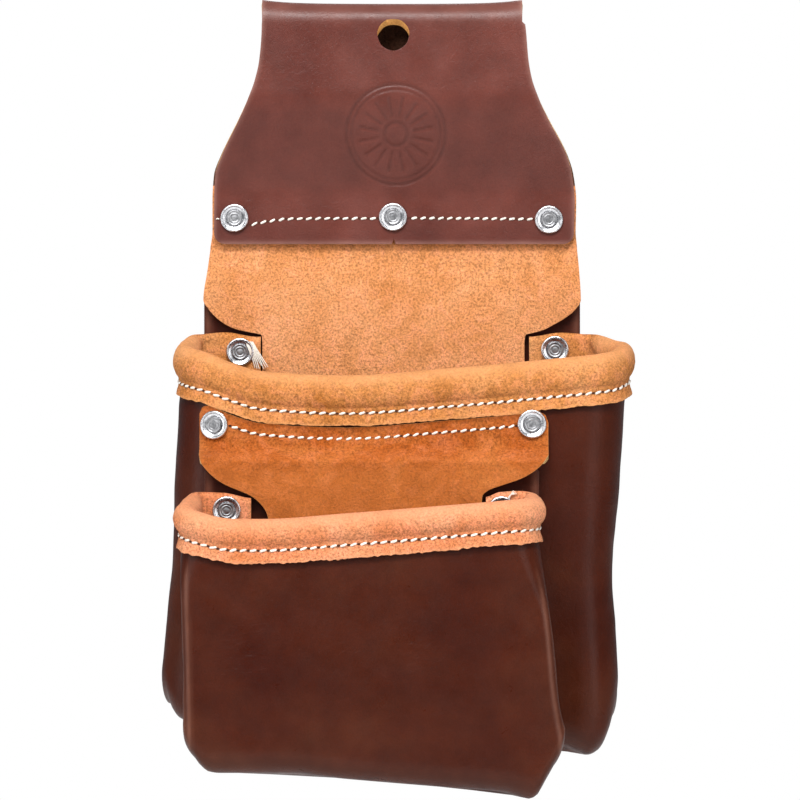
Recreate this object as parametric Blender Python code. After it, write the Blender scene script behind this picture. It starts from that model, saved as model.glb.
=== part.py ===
"""Leather electrician's tool pouch with a belt tunnel, a wide main pouch and a smaller outer pouch.

Metres, +Z up. The front of the pouch faces -Y and its right side, seen from the front, is +X.
The origin is the middle of the belt tunnel, on the flat grain face that lies against the wearer.
The main pouch swings on the bend of leather just under the belt flap, and the outer pouch swings
on the bend just under its own top row of stitching.
"""

import math

import bmesh
import bpy
from mathutils import Matrix, Vector

# Leathers and the clearances between pieces
BELT_LEATHER = 0.0032
BAG_LEATHER = 0.0028
SUEDE = 0.0016
GAP = 0.0003

# Sewing thread
THREAD_RADIUS = 0.0005
THREAD_SIDES = 5

# Belt tunnel: one strap of leather that runs up the back, folds over and comes down as the flap
FOLD_TOP = 0.0555
FOLD_RADIUS = 0.011
FLAP_BOTTOM = -0.0764
FLAP_CORNER = 0.006
FLAP_FACE = -(2 * BELT_LEATHER + GAP)
TUNNEL_FOOT = -0.052
TUNNEL_FULL = 0.008
REAR_EXTRA_WIDTH = 0.0014
HANGING_HOLE_Z = 0.0372
HANGING_HOLE_RADIUS = 0.0086
HANGING_HOLE_LEAN = math.radians(20)
HANGING_HOLE_STEPS = 24
HOLE_CUTTER_LENGTH = 0.012
REAR_WIDE_BELOW = 0.030
REAR_WIDE_RUN = 0.025
STRAP_STEPS = 16
FOLD_STEPS = 8
FLAP_STEPS = 20
CORNER_STEPS = 4

# Bends that let the pouches swing
MAIN_HINGE = Vector((0.0, -BELT_LEATHER, -0.0800))
OUTER_HINGE_Z = -0.1870
HINGE_SLIT = 0.00015

# Suede-faced back panel, below the flap
# (height, left edge, right edge): the sides, the rounded ears, and the neck inside the pouch
PANEL_OUTLINE = ((-0.0800, -0.1004, 0.1012), (-0.0900, -0.1018, 0.1022),
                 (-0.1070, -0.1042, 0.1032), (-0.1125, -0.1010, 0.1000),
                 (-0.1170, -0.0968, 0.0945), (-0.1208, -0.0915, 0.0880),
                 (-0.1236, -0.0845, 0.0825), (-0.1250, -0.0775, 0.0775),
                 (-0.1262, -0.0722, 0.0728), (-0.1300, -0.0718, 0.0722))
PANEL_FOOT = -0.3150

# Rims: flat against the back, and rolled over a cord from the middle of the sides forward
FLAT_CAP = 0.0035
FULL_FROM = 0.42
FLAT_BULGE = 0.00005
ROLL_BULGE = 0.0029
BINDING_SPACE = GAP + 0.0001
WALL_UNDER_CAP = 0.0008
WALL_INTO_ROLL = 0.0025
CORE_HALF_WIDTH = 0.0038
CORE_SPACE = 0.0012
CORE_SIDES = 8
STITCH_UNDER_ROLL = 0.0012
STITCH_FROM = 0.4

# Steps round a pouch's plan: folded-in back, back corners, sides, front corners and front
FLAT_STEPS = 2
BACK_ARC_STEPS = 4
SIDE_STEPS = 3
FRONT_ARC_STEPS = 6
FRONT_STEPS = 8

# Plate of leather behind each pouch, and the seam that holds it
REAR_WALL_SPACE = 0.0022
WALL_CORNER = 0.010
WALL_STEPS = 6
SEAM_INSET = 0.007
SEAM_ABOVE_FOOT = 0.009
SEAM_BEND = 0.012
SEAM_BEND_STEPS = 3
WINDOW_REACH = 0.003
WINDOW_ABOVE_RIM = 0.010

# Rivets and their washers
RIVET_POST_RADIUS = 0.0020
RIVET_HEAD_RADIUS = 0.0044
RIVET_HEAD_HEIGHT = 0.0014
RIVET_BACK_RADIUS = 0.0055
RIVET_BACK_HEIGHT = 0.0016
WASHER_RADIUS = 0.00775
WASHER_THICKNESS = 0.0009
WASHER_HEIGHT = 0.0019
WASHER_SHOULDER = 0.0013
MOUTH_RIVET_SLACK = 0.00005
CURVED_BACK_SLACK = 0.0010
RIVET_HOLE_SPARE = 0.004
ROUND_STEPS = 16
SHARP_ANGLE = math.radians(40)
FLAP_RIVETS = ((-0.0870, -0.0622), (0.0000, -0.0616), (0.0856, -0.0630))
FLAP_STITCHING = ((-0.0775, -0.0095), (0.0095, 0.0765))


class Pouch:
    """The driving sizes of one pouch. Plans are given at the rim and at the floor."""

    def __init__(self, **sizes):
        self.__dict__.update(sizes)


MAIN = Pouch(
    name="main",
    back_y=-0.0015,
    front_y=-0.0666,
    back_corners=(-0.1080, 0.1090),
    wall_edges=(-0.1040, 0.1030),
    widest_at_rim=(-0.1143, 0.1266),
    widest_at_floor=(-0.1236, 0.1206),
    back_radius=0.011,
    rim_radii=(0.026, 0.022),
    floor_radii=(0.026, 0.022),
    straight_to=-0.1800,
    floor_mid=-0.3440,
    floor_slope=0.080,
    floor_radius=0.018,
    roll_height=0.0195,
    binding_height=0.0275,
    window=(-0.0724, 0.0745),
    rim_back=((-0.1050, -0.1258), (-0.0920, -0.1248), (-0.0750, -0.1272), (0.0750, -0.1272),
              (0.0920, -0.1250), (0.1050, -0.1258)),
    rim_front=((-0.120, -0.1325), (-0.101, -0.1362), (-0.0874, -0.1416), (-0.0703, -0.1464),
               (-0.0257, -0.1486), (0.0307, -0.1448), (0.0833, -0.1400), (0.1166, -0.1362),
               (0.1270, -0.1320)),
    wall_top=-0.1040,
    seam_top=-0.1120,
    mouth_rivets=((-0.0840, -0.1356), (0.0889, -0.1345)),
)
OUTER = Pouch(
    name="outer",
    back_y=-0.0770,
    front_y=-0.1270,
    back_corners=(-0.1055, 0.0745),
    wall_edges=(-0.1010, 0.0785),
    widest_at_rim=(-0.1100, 0.0748),
    widest_at_floor=(-0.1096, 0.0895),
    back_radius=0.006,
    rim_radii=(0.014, 0.014),
    floor_radii=(0.016, 0.016),
    straight_to=-0.2490,
    floor_mid=-0.3650,
    floor_slope=0.072,
    floor_radius=0.014,
    roll_height=0.0155,
    binding_height=0.0235,
    window=(-0.0756, 0.0496),
    rim_back=((-0.1006, -0.2113), (-0.0899, -0.2118), (-0.0750, -0.2146), (0.0494, -0.2140),
              (0.0574, -0.2113), (0.0680, -0.2107), (0.0762, -0.2118)),
    rim_front=((-0.1110, -0.2175), (-0.1014, -0.2210), (-0.0856, -0.2244), (-0.0688, -0.2246),
               (-0.0225, -0.2215), (0.0302, -0.2173), (0.0496, -0.2157), (0.0745, -0.2135)),
    wall_top=-0.1965,
    seam_top=-0.2300,
    mouth_rivets=((-0.0890, -0.2212), (0.0582, -0.2212)),
)

# Outer pouch's own suede panel, hung on the front of the main pouch
OUTER_PANEL_TOP_GAP = 0.0010
OUTER_PANEL_LEFT = -0.1040
OUTER_PANEL_RIGHT = 0.0835
OUTER_OUTLINE = ((-0.1914, -0.1040, 0.0835), (-0.1955, -0.1027, 0.0806),
                 (-0.1995, -0.0998, 0.0765), (-0.2040, -0.0950, 0.0690),
                 (-0.2075, -0.0895, 0.0590), (-0.2105, -0.0825, 0.0510),
                 (-0.2134, -0.0760, 0.0480), (-0.2175, -0.0710, 0.0476),
                 (-0.2220, -0.0678, 0.0475), (-0.2280, -0.0660, 0.0475))
OUTER_PANEL_FOOT = -0.3380
OUTER_BEND_LOW = -0.1955
OUTER_RIVETS = ((-0.0958, -0.1754), (0.0747, -0.1749))
OUTER_STITCH_DROP = 0.0058
OUTER_STITCH_INSET = 0.009
OUTER_COLUMNS = 14
OUTER_STRIP_STEPS = 3
OUTER_BEND_MIDDLE = 0.0022


def clear_scene():
    for thing in list(bpy.data.objects):
        bpy.data.objects.remove(thing, do_unlink=True)


def make_material(name, colour, roughness, metallic=0.0):
    material = bpy.data.materials.new(name)
    material.use_nodes = True
    shader = material.node_tree.nodes["Principled BSDF"]
    shader.inputs["Base Color"].default_value = (*colour, 1.0)
    shader.inputs["Roughness"].default_value = roughness
    shader.inputs["Metallic"].default_value = metallic
    material.diffuse_color = (*colour, 1.0)
    return material


def ease(t):
    t = min(1.0, max(0.0, t))
    return t * t * (3 - 2 * t)


def mix(a, b, t):
    return a + (b - a) * t


def along(knots, x):
    """A smooth value at x through rising (x, value) knots, held level past both ends.

    Between knots it is a cubic that never overshoots them.
    """
    if x <= knots[0][0]:
        return knots[0][1]
    if x >= knots[-1][0]:
        return knots[-1][1]
    slopes = [(b[1] - a[1]) / (b[0] - a[0]) for a, b in zip(knots, knots[1:])]
    tangents = [slopes[0]]
    for a, b in zip(slopes, slopes[1:]):
        tangents.append(2 * a * b / (a + b) if a * b > 0 else 0.0)
    tangents.append(slopes[-1])
    i = max(k for k in range(len(slopes)) if knots[k][0] <= x)
    wide = knots[i + 1][0] - knots[i][0]
    t = (x - knots[i][0]) / wide
    start, end = knots[i][1], knots[i + 1][1]
    bend = wide * (tangents[i] * t * (1 - t) ** 2 - tangents[i + 1] * t * t * (1 - t))
    return mix(start, end, ease(t)) + bend


def add_object(name, mesh, material, hinge=None):
    thing = bpy.data.objects.new(name, mesh)
    bpy.context.scene.collection.objects.link(thing)
    mesh.materials.append(material)
    if hinge:
        thing.parent = hinge
        thing.matrix_parent_inverse = Matrix.Translation(-hinge.location)
    return thing


def add_hinge(name, place):
    hinge = bpy.data.objects.new(name, None)
    hinge.location = place
    bpy.context.scene.collection.objects.link(hinge)
    return hinge


def skin(rows, closed=False, floor=False, caps=False):
    """A mesh of quads over rows of points. A floor closes the last row; caps close both ends."""
    count = len(rows[0])
    points = [point for row in rows for point in row]
    faces = []
    for r in range(len(rows) - 1):
        for c in range(count if closed else count - 1):
            d = (c + 1) % count
            faces.append((r * count + c, r * count + d, (r + 1) * count + d, (r + 1) * count + c))
    if floor or caps:
        start = (len(rows) - 1) * count
        faces.append(tuple(range(start, start + count)))
    if caps:
        faces.append(tuple(reversed(range(count))))
    mesh = bpy.data.meshes.new("skin")
    mesh.from_pydata(points, [], faces)
    return mesh


def face_outward(mesh):
    work = bmesh.new()
    work.from_mesh(mesh)
    bmesh.ops.recalc_face_normals(work, faces=work.faces)
    work.to_mesh(mesh)
    work.free()


def add_sheet(name, rows, material, thickness, hinge=None, closed=False, floor=False):
    """Leather of one thickness whose outer face is the rows of points.

    Seen from outside, rows that run down the sheet go from right to left, and rows that run up it
    go from left to right.
    """
    mesh = skin(rows, closed, floor)
    if floor:
        face_outward(mesh)
    thing = add_object(name, mesh, material, hinge)
    solidify = thing.modifiers.new("thickness", "SOLIDIFY")
    solidify.thickness = thickness
    solidify.offset = -1.0
    solidify.use_even_offset = True
    return thing


def add_sweep(name, sections, material, hinge=None):
    """A closed solid through cross-sections that all have the same number of points."""
    mesh = skin(sections, closed=True, caps=True)
    face_outward(mesh)
    mesh.shade_smooth()
    mesh.set_sharp_from_angle(angle=SHARP_ANGLE)
    return add_object(name, mesh, material, hinge)


def add_thread(name, path, material, hinge=None):
    """A thin round thread along a path of points."""
    sections = []
    turns = [2 * math.pi * k / THREAD_SIDES for k in range(THREAD_SIDES)]
    for i, point in enumerate(path):
        before = path[max(i - 1, 0)]
        after = path[min(i + 1, len(path) - 1)]
        ahead = (after - before).normalized()
        side = ahead.cross(Vector((0, 0, 1)))
        if side.length < 0.3:
            side = ahead.cross(Vector((0, 1, 0)))
        side.normalize()
        other = side.cross(ahead)
        ring = [math.cos(a) * side + math.sin(a) * other for a in turns]
        sections.append([point + THREAD_RADIUS * spoke for spoke in ring])
    add_sweep(name, sections, material, hinge)


def add_turned(name, profile, place, outward, material, hinge=None):
    """A turned piece. The profile is a closed loop of (radius, height) points, height outward."""
    aim = Vector((0, 0, 1)).rotation_difference(outward).to_matrix().to_4x4()
    frame = Matrix.Translation(place) @ aim
    work = bmesh.new()
    columns = []
    for k in range(ROUND_STEPS):
        turn = 2 * math.pi * k / ROUND_STEPS
        column = []
        for j, (radius, height) in enumerate(profile):
            if radius == 0 and k:
                column.append(columns[0][j])
            else:
                spot = Vector((radius * math.cos(turn), radius * math.sin(turn), height))
                column.append(work.verts.new(frame @ spot))
        columns.append(column)
    last = len(profile)
    for k in range(ROUND_STEPS):
        here = columns[k]
        beside = columns[(k + 1) % ROUND_STEPS]
        for j in range(last):
            i = (j + 1) % last
            loop = []
            for corner in (here[j], beside[j], beside[i], here[i]):
                if corner not in loop:
                    loop.append(corner)
            if len(loop) > 2:
                work.faces.new(loop)
    bmesh.ops.recalc_face_normals(work, faces=work.faces)
    mesh = bpy.data.meshes.new(name)
    work.to_mesh(mesh)
    work.free()
    mesh.shade_smooth()
    mesh.set_sharp_from_angle(angle=SHARP_ANGLE)
    add_object(name, mesh, material, hinge)


def add_cutter(name, mesh, aim=None):
    cutter = bpy.data.objects.new(name, mesh)
    bpy.context.scene.collection.objects.link(cutter)
    if aim:
        cutter.matrix_world = aim
    cutter.hide_render = True
    cutter.display_type = "WIRE"
    return cutter


def round_cutter(name, place, outward, radius, length, steps=ROUND_STEPS):
    work = bmesh.new()
    bmesh.ops.create_cone(work, cap_ends=True, segments=steps, radius1=radius, radius2=radius,
                          depth=length)
    mesh = bpy.data.meshes.new(name)
    work.to_mesh(mesh)
    work.free()
    aim = Vector((0, 0, 1)).rotation_difference(outward).to_matrix().to_4x4()
    return add_cutter(name, mesh, aim=Matrix.Translation(place) @ aim)


def box_cutter(name, low, high):
    work = bmesh.new()
    bmesh.ops.create_cube(work, size=1.0)
    size = Vector(high) - Vector(low)
    middle = (Vector(high) + Vector(low)) / 2
    for vertex in work.verts:
        vertex.co = Vector(a * b for a, b in zip(vertex.co, size)) + middle
    mesh = bpy.data.meshes.new(name)
    work.to_mesh(mesh)
    work.free()
    return add_cutter(name, mesh)


def cut(thing, cutter):
    modifier = thing.modifiers.new(cutter.name, "BOOLEAN")
    modifier.operation = "DIFFERENCE"
    modifier.solver = "EXACT"
    modifier.object = cutter


# ---- Belt tunnel -------------------------------------------------------------------------------

def strap_half_width(z):
    """Half the width of the strap: narrow over the belt, flaring to the width of the panel."""
    knots = ((-0.0526, 0.0986), (-0.0370, 0.0972), (-0.0280, 0.0938), (0.0020, 0.0790),
             (0.0130, 0.0756), (0.0240, 0.0735), (0.0450, 0.0716))
    return along(knots, z)


def flap_depth(z):
    """How far in front of the origin plane the flap's grain face stands at height z."""
    swell = 2 * FOLD_RADIUS + FLAP_FACE
    return FLAP_FACE - swell * ease((z - TUNNEL_FOOT) / (TUNNEL_FULL - TUNNEL_FOOT))


def make_belt_loop(material):
    """Strap that runs up the back, folds over and comes down as the flap, with a hanging hole."""
    fold_z = FOLD_TOP - FOLD_RADIUS
    rows = []
    low = MAIN_HINGE.z + HINGE_SLIT
    for i in range(STRAP_STEPS + 1):
        z = mix(low, fold_z, i / STRAP_STEPS)
        extra = REAR_EXTRA_WIDTH * ease((REAR_WIDE_BELOW - z) / REAR_WIDE_RUN)
        half = strap_half_width(z) + extra
        rows.append([Vector((-half, 0, z)), Vector((half, 0, z))])
    half = strap_half_width(fold_z)
    for i in range(1, FOLD_STEPS + 1):
        turn = math.pi * i / FOLD_STEPS
        y = -FOLD_RADIUS + FOLD_RADIUS * math.cos(turn)
        z = fold_z + FOLD_RADIUS * math.sin(turn)
        rows.append([Vector((-half, y, z)), Vector((half, y, z))])
    corner_top = FLAP_BOTTOM + FLAP_CORNER
    for i in range(1, FLAP_STEPS + 1):
        z = mix(fold_z, corner_top, i / FLAP_STEPS)
        half = strap_half_width(z)
        rows.append([Vector((-half, flap_depth(z), z)), Vector((half, flap_depth(z), z))])
    half = strap_half_width(corner_top)
    for i in range(1, CORNER_STEPS + 1):
        turn = math.pi / 2 * i / CORNER_STEPS
        z = corner_top - FLAP_CORNER * math.sin(turn)
        inset = FLAP_CORNER * (1 - math.cos(turn))
        rows.append([Vector((-half + inset, FLAP_FACE, z)), Vector((half - inset, FLAP_FACE, z))])
    rows = [[row[1], row[0]] for row in rows]
    loop = add_sheet("belt_loop", rows, material, BELT_LEATHER)
    lean = Vector((0, -math.cos(HANGING_HOLE_LEAN), math.sin(HANGING_HOLE_LEAN)))
    middle = Vector((0, -2 * FOLD_RADIUS, HANGING_HOLE_Z))
    cutter = round_cutter("hanging_hole_cutter", middle, lean, HANGING_HOLE_RADIUS,
                          HOLE_CUTTER_LENGTH, HANGING_HOLE_STEPS)
    cut(loop, cutter)
    return loop


# ---- Rivets ------------------------------------------------------------------------------------

def rivet_profile(stack):
    """Back head, post and peened front head, for a rivet through leather `stack` thick."""
    top = WASHER_THICKNESS + 2 * GAP
    base = -stack - GAP
    return ((0, base - RIVET_BACK_HEIGHT), (0.0034, base - 0.0014),
            (RIVET_BACK_RADIUS, base - 0.0005), (RIVET_BACK_RADIUS, base),
            (RIVET_POST_RADIUS, base), (RIVET_POST_RADIUS, top), (RIVET_HEAD_RADIUS, top),
            (RIVET_HEAD_RADIUS, top + 0.0008), (0, top + RIVET_HEAD_HEIGHT))


def washer_profile():
    """Pressed washer with a raised outer rim and a cone down to its hole."""
    bore = RIVET_POST_RADIUS + GAP
    edge = WASHER_RADIUS
    return ((bore, GAP), (edge, GAP), (edge, WASHER_SHOULDER), (edge - 0.0009, WASHER_HEIGHT),
            (edge - 0.0022, WASHER_SHOULDER), (bore, WASHER_THICKNESS + GAP))


def add_rivet(name, place, outward, stack, metal, dark_metal, hinge, leathers):
    """A rivet and its washer at `place` on the front of leathers `stack` thick, and their holes."""
    add_turned(name + "_rivet", rivet_profile(stack), place, outward, dark_metal, hinge)
    add_turned(name + "_washer", washer_profile(), place, outward, metal, hinge)
    middle = place - outward * stack / 2
    hole = round_cutter(name + "_hole_cutter", middle, outward, RIVET_POST_RADIUS + GAP,
                        stack + RIVET_HOLE_SPARE)
    for leather in leathers:
        cut(leather, hole)


# ---- Pouches -----------------------------------------------------------------------------------

def rounded_corner(before, corner, after, radius, steps):
    """Points on the arc that rounds a corner of a plan."""
    a = (before - corner).normalized()
    b = (after - corner).normalized()
    half_angle = math.acos(max(-1.0, min(1.0, a.dot(b)))) / 2
    reach = radius / math.tan(half_angle)
    centre = corner + (a + b).normalized() * radius / math.sin(half_angle)
    start = corner + a * reach - centre
    turn = start.angle_signed(corner + b * reach - centre)
    points = []
    for k in range(steps + 1):
        angle = -turn * k / steps
        c, s = math.cos(angle), math.sin(angle)
        points.append(centre + Vector((c * start.x - s * start.y, s * start.x + c * start.y)))
    return points


def straight(a, b, steps):
    """Points strictly between a and b."""
    return [a.lerp(b, k / steps) for k in range(1, steps)]


def front_corner(pouch, side, level):
    """The sharp corner of the plan at the front of one side, and the radius that rounds it.

    The corner is placed so that the rounded plan is as wide there as the pouch should be.
    """
    shape = ease(level)
    radius = mix(pouch.rim_radii[side], pouch.floor_radii[side], shape)
    widest = abs(mix(pouch.widest_at_rim[side], pouch.widest_at_floor[side], shape))
    back = abs(pouch.back_corners[side])
    deep = abs(pouch.front_y - pouch.back_y)
    run = deep - radius
    spare = back - (widest - radius)
    flare = radius * math.sqrt(spare ** 2 + run ** 2 - radius ** 2) - spare * run
    flare /= run ** 2 - radius ** 2
    out = back + deep * flare
    return Vector((out if side else -out, pouch.front_y)), radius


def plan(pouch, level):
    """The wall's middle line in plan, from one edge of the window in the pouch's back, round the
    right side, the front and the left side, to the window's other edge.

    level runs from 0 at the rim to 1 at the floor.
    """
    back_left = Vector((pouch.back_corners[0], pouch.back_y))
    back_right = Vector((pouch.back_corners[1], pouch.back_y))
    front_left, left_radius = front_corner(pouch, 0, level)
    front_right, right_radius = front_corner(pouch, 1, level)
    arcs = [
        rounded_corner(back_left, back_right, front_right, pouch.back_radius, BACK_ARC_STEPS),
        rounded_corner(back_right, front_right, front_left, right_radius, FRONT_ARC_STEPS),
        rounded_corner(front_right, front_left, back_left, left_radius, FRONT_ARC_STEPS),
        rounded_corner(front_left, back_left, back_right, pouch.back_radius, BACK_ARC_STEPS),
    ]
    line = list(arcs[0])
    for arc, steps in zip(arcs[1:], (SIDE_STEPS, FRONT_STEPS, SIDE_STEPS)):
        line += straight(line[-1], arc[0], steps)
        line += arc
    first = Vector((pouch.window[1] + GAP, pouch.back_y))
    last = Vector((pouch.window[0] - GAP, pouch.back_y))
    line = [first] + straight(first, line[0], FLAT_STEPS) + line
    return line + straight(line[-1], last, FLAT_STEPS) + [last]


def outward_normals(line, closed):
    """Unit vectors pointing out of the pouch, square to its plan line."""
    normals = []
    count = len(line)
    for i in range(count):
        before = line[(i - 1) % count] if closed else line[max(i - 1, 0)]
        after = line[(i + 1) % count] if closed else line[min(i + 1, count - 1)]
        ahead = (after - before).normalized()
        normals.append(Vector((-ahead.y, ahead.x)))
    return normals


def forwardness(pouch, y):
    """0 on the back of the pouch and 1 on its front."""
    return min(1.0, max(0.0, (y - pouch.back_y) / (pouch.front_y - pouch.back_y)))


def roll_top(pouch, x, y):
    """Height of the top of the rolled rim: high at the back and dipping across the front."""
    front = along(pouch.rim_front, x)
    return mix(along(pouch.rim_back, x), front, ease(forwardness(pouch, y)))


def fullness(pouch, y):
    """How padded the rim is: flat against the back and full from the middle of the sides."""
    return ease(forwardness(pouch, y) / FULL_FROM)


def wall_top(pouch, x, y):
    """Height of the shell's top edge, hidden inside the rim binding."""
    flat = FLAT_CAP + WALL_UNDER_CAP
    drop = mix(flat, pouch.roll_height - WALL_INTO_ROLL, fullness(pouch, y))
    return roll_top(pouch, x, y) - drop


def cap_height(pouch, y):
    """Height of the rounded top of the rim: short where the rim is flat, half the roll where full."""
    return mix(FLAT_CAP, pouch.roll_height / 2, fullness(pouch, y))


def make_shell(pouch, material, hinge):
    """Front, sides, floor and folded-in back edges of a pouch, in one piece of leather."""
    half = BAG_LEATHER / 2

    def outer_face(level):
        line = plan(pouch, level)
        return [(p, n, p + n * half) for p, n in zip(line, outward_normals(line, closed=True))]

    def floor_z(x):
        return pouch.floor_mid - pouch.floor_slope * x

    rows = [
        [Vector((out.x, out.y, wall_top(pouch, p.x, p.y))) for p, n, out in outer_face(0)],
        [Vector((out.x, out.y, pouch.straight_to)) for p, n, out in outer_face(0)],
    ]
    for level in (0.33, 0.66, 1.0):
        row = []
        for p, n, out in outer_face(level):
            low = floor_z(out.x) + pouch.floor_radius
            row.append(Vector((out.x, out.y, mix(pouch.straight_to, low, level))))
        rows.append(row)
    for turn in (30, 60, 90):
        tuck = pouch.floor_radius * (1 - math.cos(math.radians(turn)))
        lift = pouch.floor_radius * (1 - math.sin(math.radians(turn)))
        row = []
        for p, n, out in outer_face(1.0):
            share = tuck * mix(0.35, 1.0, forwardness(pouch, p.y))
            spot = Vector((out.x - n.x * share, out.y - min(n.y, 0.0) * share))
            row.append(Vector((spot.x, spot.y, floor_z(spot.x) + lift)))
        rows.append(row)
    return add_sheet(pouch.name + "_pouch_shell", rows, material, BAG_LEATHER, hinge,
                     closed=True, floor=True)


def cut_window(pouch, shell, foot):
    """Opens the back of the shell between its folded-in edges, where the panel hangs."""
    low = (pouch.window[0], pouch.back_y - WINDOW_REACH, foot)
    high = (pouch.window[1], pouch.back_y + WINDOW_REACH, pouch.rim_back[0][1] + WINDOW_ABOVE_RIM)
    cut(shell, box_cutter(pouch.name + "_window_cutter", low, high))


def half_section(near, bulge, top, tall, flange, steps):
    """One side of the binding: straight up the flange, then round the padded roll to its top."""
    wide = near + bulge
    start = -math.acos(min(1.0, near / wide))
    points = [(near, -flange)]
    for k in range(steps + 1):
        turn = mix(start, math.pi / 2, k / steps)
        points.append((wide * math.cos(turn), -top - tall + tall * math.sin(turn)))
    return points


def make_binding(pouch, material, hinge):
    """Suede strip rolled over a core and sewn down on both faces of the shell."""
    line = plan(pouch, 0)
    near = BAG_LEATHER / 2 + BINDING_SPACE
    sections = []
    for p, n in zip(line, outward_normals(line, closed=False)):
        full = fullness(pouch, p.y)
        bulge = FLAT_BULGE + ROLL_BULGE * full
        tall = cap_height(pouch, p.y)
        outer = half_section(near + SUEDE, bulge, 0, tall, pouch.binding_height, 5)
        inner = half_section(near, bulge, SUEDE, tall - SUEDE, pouch.binding_height, 5)
        loop = outer + [(-a, b) for a, b in reversed(outer[:-1])]
        loop += [(-a, b) for a, b in inner[:-1]] + [(a, b) for a, b in reversed(inner)]
        top = roll_top(pouch, p.x, p.y)
        sections.append([Vector((p.x + n.x * a, p.y + n.y * a, top + b)) for a, b in loop])
    return add_sweep(pouch.name + "_rim_binding", sections, material, hinge)


def make_core(pouch, material, hinge):
    """Round filler cord inside the padded stretch of the rim."""
    line = plan(pouch, 0)
    tall = pouch.roll_height / 2
    sections = []
    for p, n in zip(line, outward_normals(line, closed=False)):
        if fullness(pouch, p.y) < 0.999:
            continue
        top = roll_top(pouch, p.x, p.y) - SUEDE - GAP
        high = tall - SUEDE - CORE_SPACE
        loop = []
        for k in range(CORE_SIDES):
            turn = 2 * math.pi * k / CORE_SIDES
            a = CORE_HALF_WIDTH * math.cos(turn)
            b = -high + high * math.sin(turn)
            loop.append(Vector((p.x + n.x * a, p.y + n.y * a, top + b)))
        sections.append(loop)
    add_sweep(pouch.name + "_rim_core", sections, material, hinge)


def make_rim_thread(pouch, material, hinge):
    """Row of stitching that closes the binding under the roll."""
    line = plan(pouch, 0)
    reach = BAG_LEATHER / 2 + GAP + SUEDE + GAP + 2 * THREAD_RADIUS
    path = []
    for p, n in zip(line, outward_normals(line, closed=False)):
        if fullness(pouch, p.y) > STITCH_FROM:
            z = roll_top(pouch, p.x, p.y) - pouch.roll_height - STITCH_UNDER_ROLL
            path.append(Vector((p.x + n.x * reach, p.y + n.y * reach, z)))
    add_thread(pouch.name + "_rim_stitching", path, material, hinge)


def make_rear_wall(pouch, material, hinge):
    """Flat plate of leather behind a pouch, cut to follow its sloping floor."""
    face = pouch.back_y + BAG_LEATHER / 2 + REAR_WALL_SPACE + BAG_LEATHER
    left, right = pouch.wall_edges
    top_row = []
    low_row = []
    for k in range(WALL_STEPS + 1):
        x = mix(right, left, k / WALL_STEPS)
        edge = WALL_CORNER if k in (0, WALL_STEPS) else 0.0
        top_row.append(Vector((x, face, pouch.wall_top - edge * 0.3)))
        foot = pouch.floor_mid - pouch.floor_slope * x + edge
        low_row.append(Vector((x, face, foot)))
    middle = [a.lerp(b, 0.5) for a, b in zip(top_row, low_row)]
    rows = [low_row, middle, top_row]
    return add_sheet(pouch.name + "_rear_wall", rows, material, BAG_LEATHER, hinge)


def make_back_seam(pouch, material, hinge):
    """Seam that joins the rear wall to the shell's folded-in edges, down, across and up again."""
    face = pouch.back_y + BAG_LEATHER / 2 + REAR_WALL_SPACE + BAG_LEATHER
    y = face + GAP + THREAD_RADIUS
    left = pouch.wall_edges[0] + SEAM_INSET
    right = pouch.wall_edges[1] - SEAM_INSET

    def foot(x):
        return pouch.floor_mid - pouch.floor_slope * x + SEAM_ABOVE_FOOT

    path = [Vector((left, y, pouch.seam_top)), Vector((left, y, foot(left) + SEAM_BEND))]
    for k in range(1, SEAM_BEND_STEPS + 1):
        turn = math.pi / 2 * k / SEAM_BEND_STEPS
        x = left + SEAM_BEND * (1 - math.cos(turn))
        path.append(Vector((x, y, foot(x) + SEAM_BEND * (1 - math.sin(turn)))))
    for k in range(SEAM_BEND_STEPS + 1):
        turn = math.pi / 2 * k / SEAM_BEND_STEPS
        x = right - SEAM_BEND * (1 - math.sin(turn))
        path.append(Vector((x, y, foot(x) + SEAM_BEND * (1 - math.cos(turn)))))
    path.append(Vector((right, y, pouch.seam_top)))
    add_thread(pouch.name + "_back_seam", path, material, hinge)


# ---- Suede panels ------------------------------------------------------------------------------

def edges_at(outline, z):
    """Left and right edge of a panel at height z."""
    left = along([(row[0], row[1]) for row in reversed(outline)], z)
    right = along([(row[0], row[2]) for row in reversed(outline)], z)
    return left, right


def make_back_panel(material, hinge):
    """Suede-faced panel from the bend under the flap to its neck inside the main pouch."""
    grid = []
    levels = [MAIN_HINGE.z - HINGE_SLIT] + [row[0] for row in PANEL_OUTLINE[1:]] + [PANEL_FOOT]
    for z in levels:
        left, right = edges_at(PANEL_OUTLINE, z)
        grid.append([Vector((right, -BELT_LEATHER, z)), Vector((left, -BELT_LEATHER, z))])
    return add_sheet("back_panel", grid, material, BELT_LEATHER, hinge)


def front_of_main(x):
    """Depth at x of a sheet's outer face where it lies on the front of the main pouch."""
    line = plan(MAIN, 0)
    normals = outward_normals(line, closed=True)
    reach = BAG_LEATHER / 2 + 2 * GAP + BAG_LEATHER
    face = [p + n * reach for p, n in zip(line, normals)]
    front = sorted((p.x, p.y) for p in face if forwardness(MAIN, p.y) > 0.45)
    return along(front, x)


def outer_panel_top(x):
    """The panel's top edge follows the lower edge of the main rim binding."""
    low_edge = roll_top(MAIN, x, MAIN.front_y) - MAIN.binding_height
    return low_edge - OUTER_PANEL_TOP_GAP


def panel_columns(left, right):
    """Places across the panel from right to left, closer together at its curved ends."""
    even = [k / OUTER_COLUMNS for k in range(OUTER_COLUMNS + 1)]
    return [mix(right, left, mix(share, ease(share), 0.35)) for share in even]


def panel_lift(z):
    """How far down its bend the outer panel is: 0 flat on the main pouch, 1 in its own plane."""
    return ease((OUTER_HINGE_Z - z) / (OUTER_HINGE_Z - OUTER_BEND_LOW))


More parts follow.
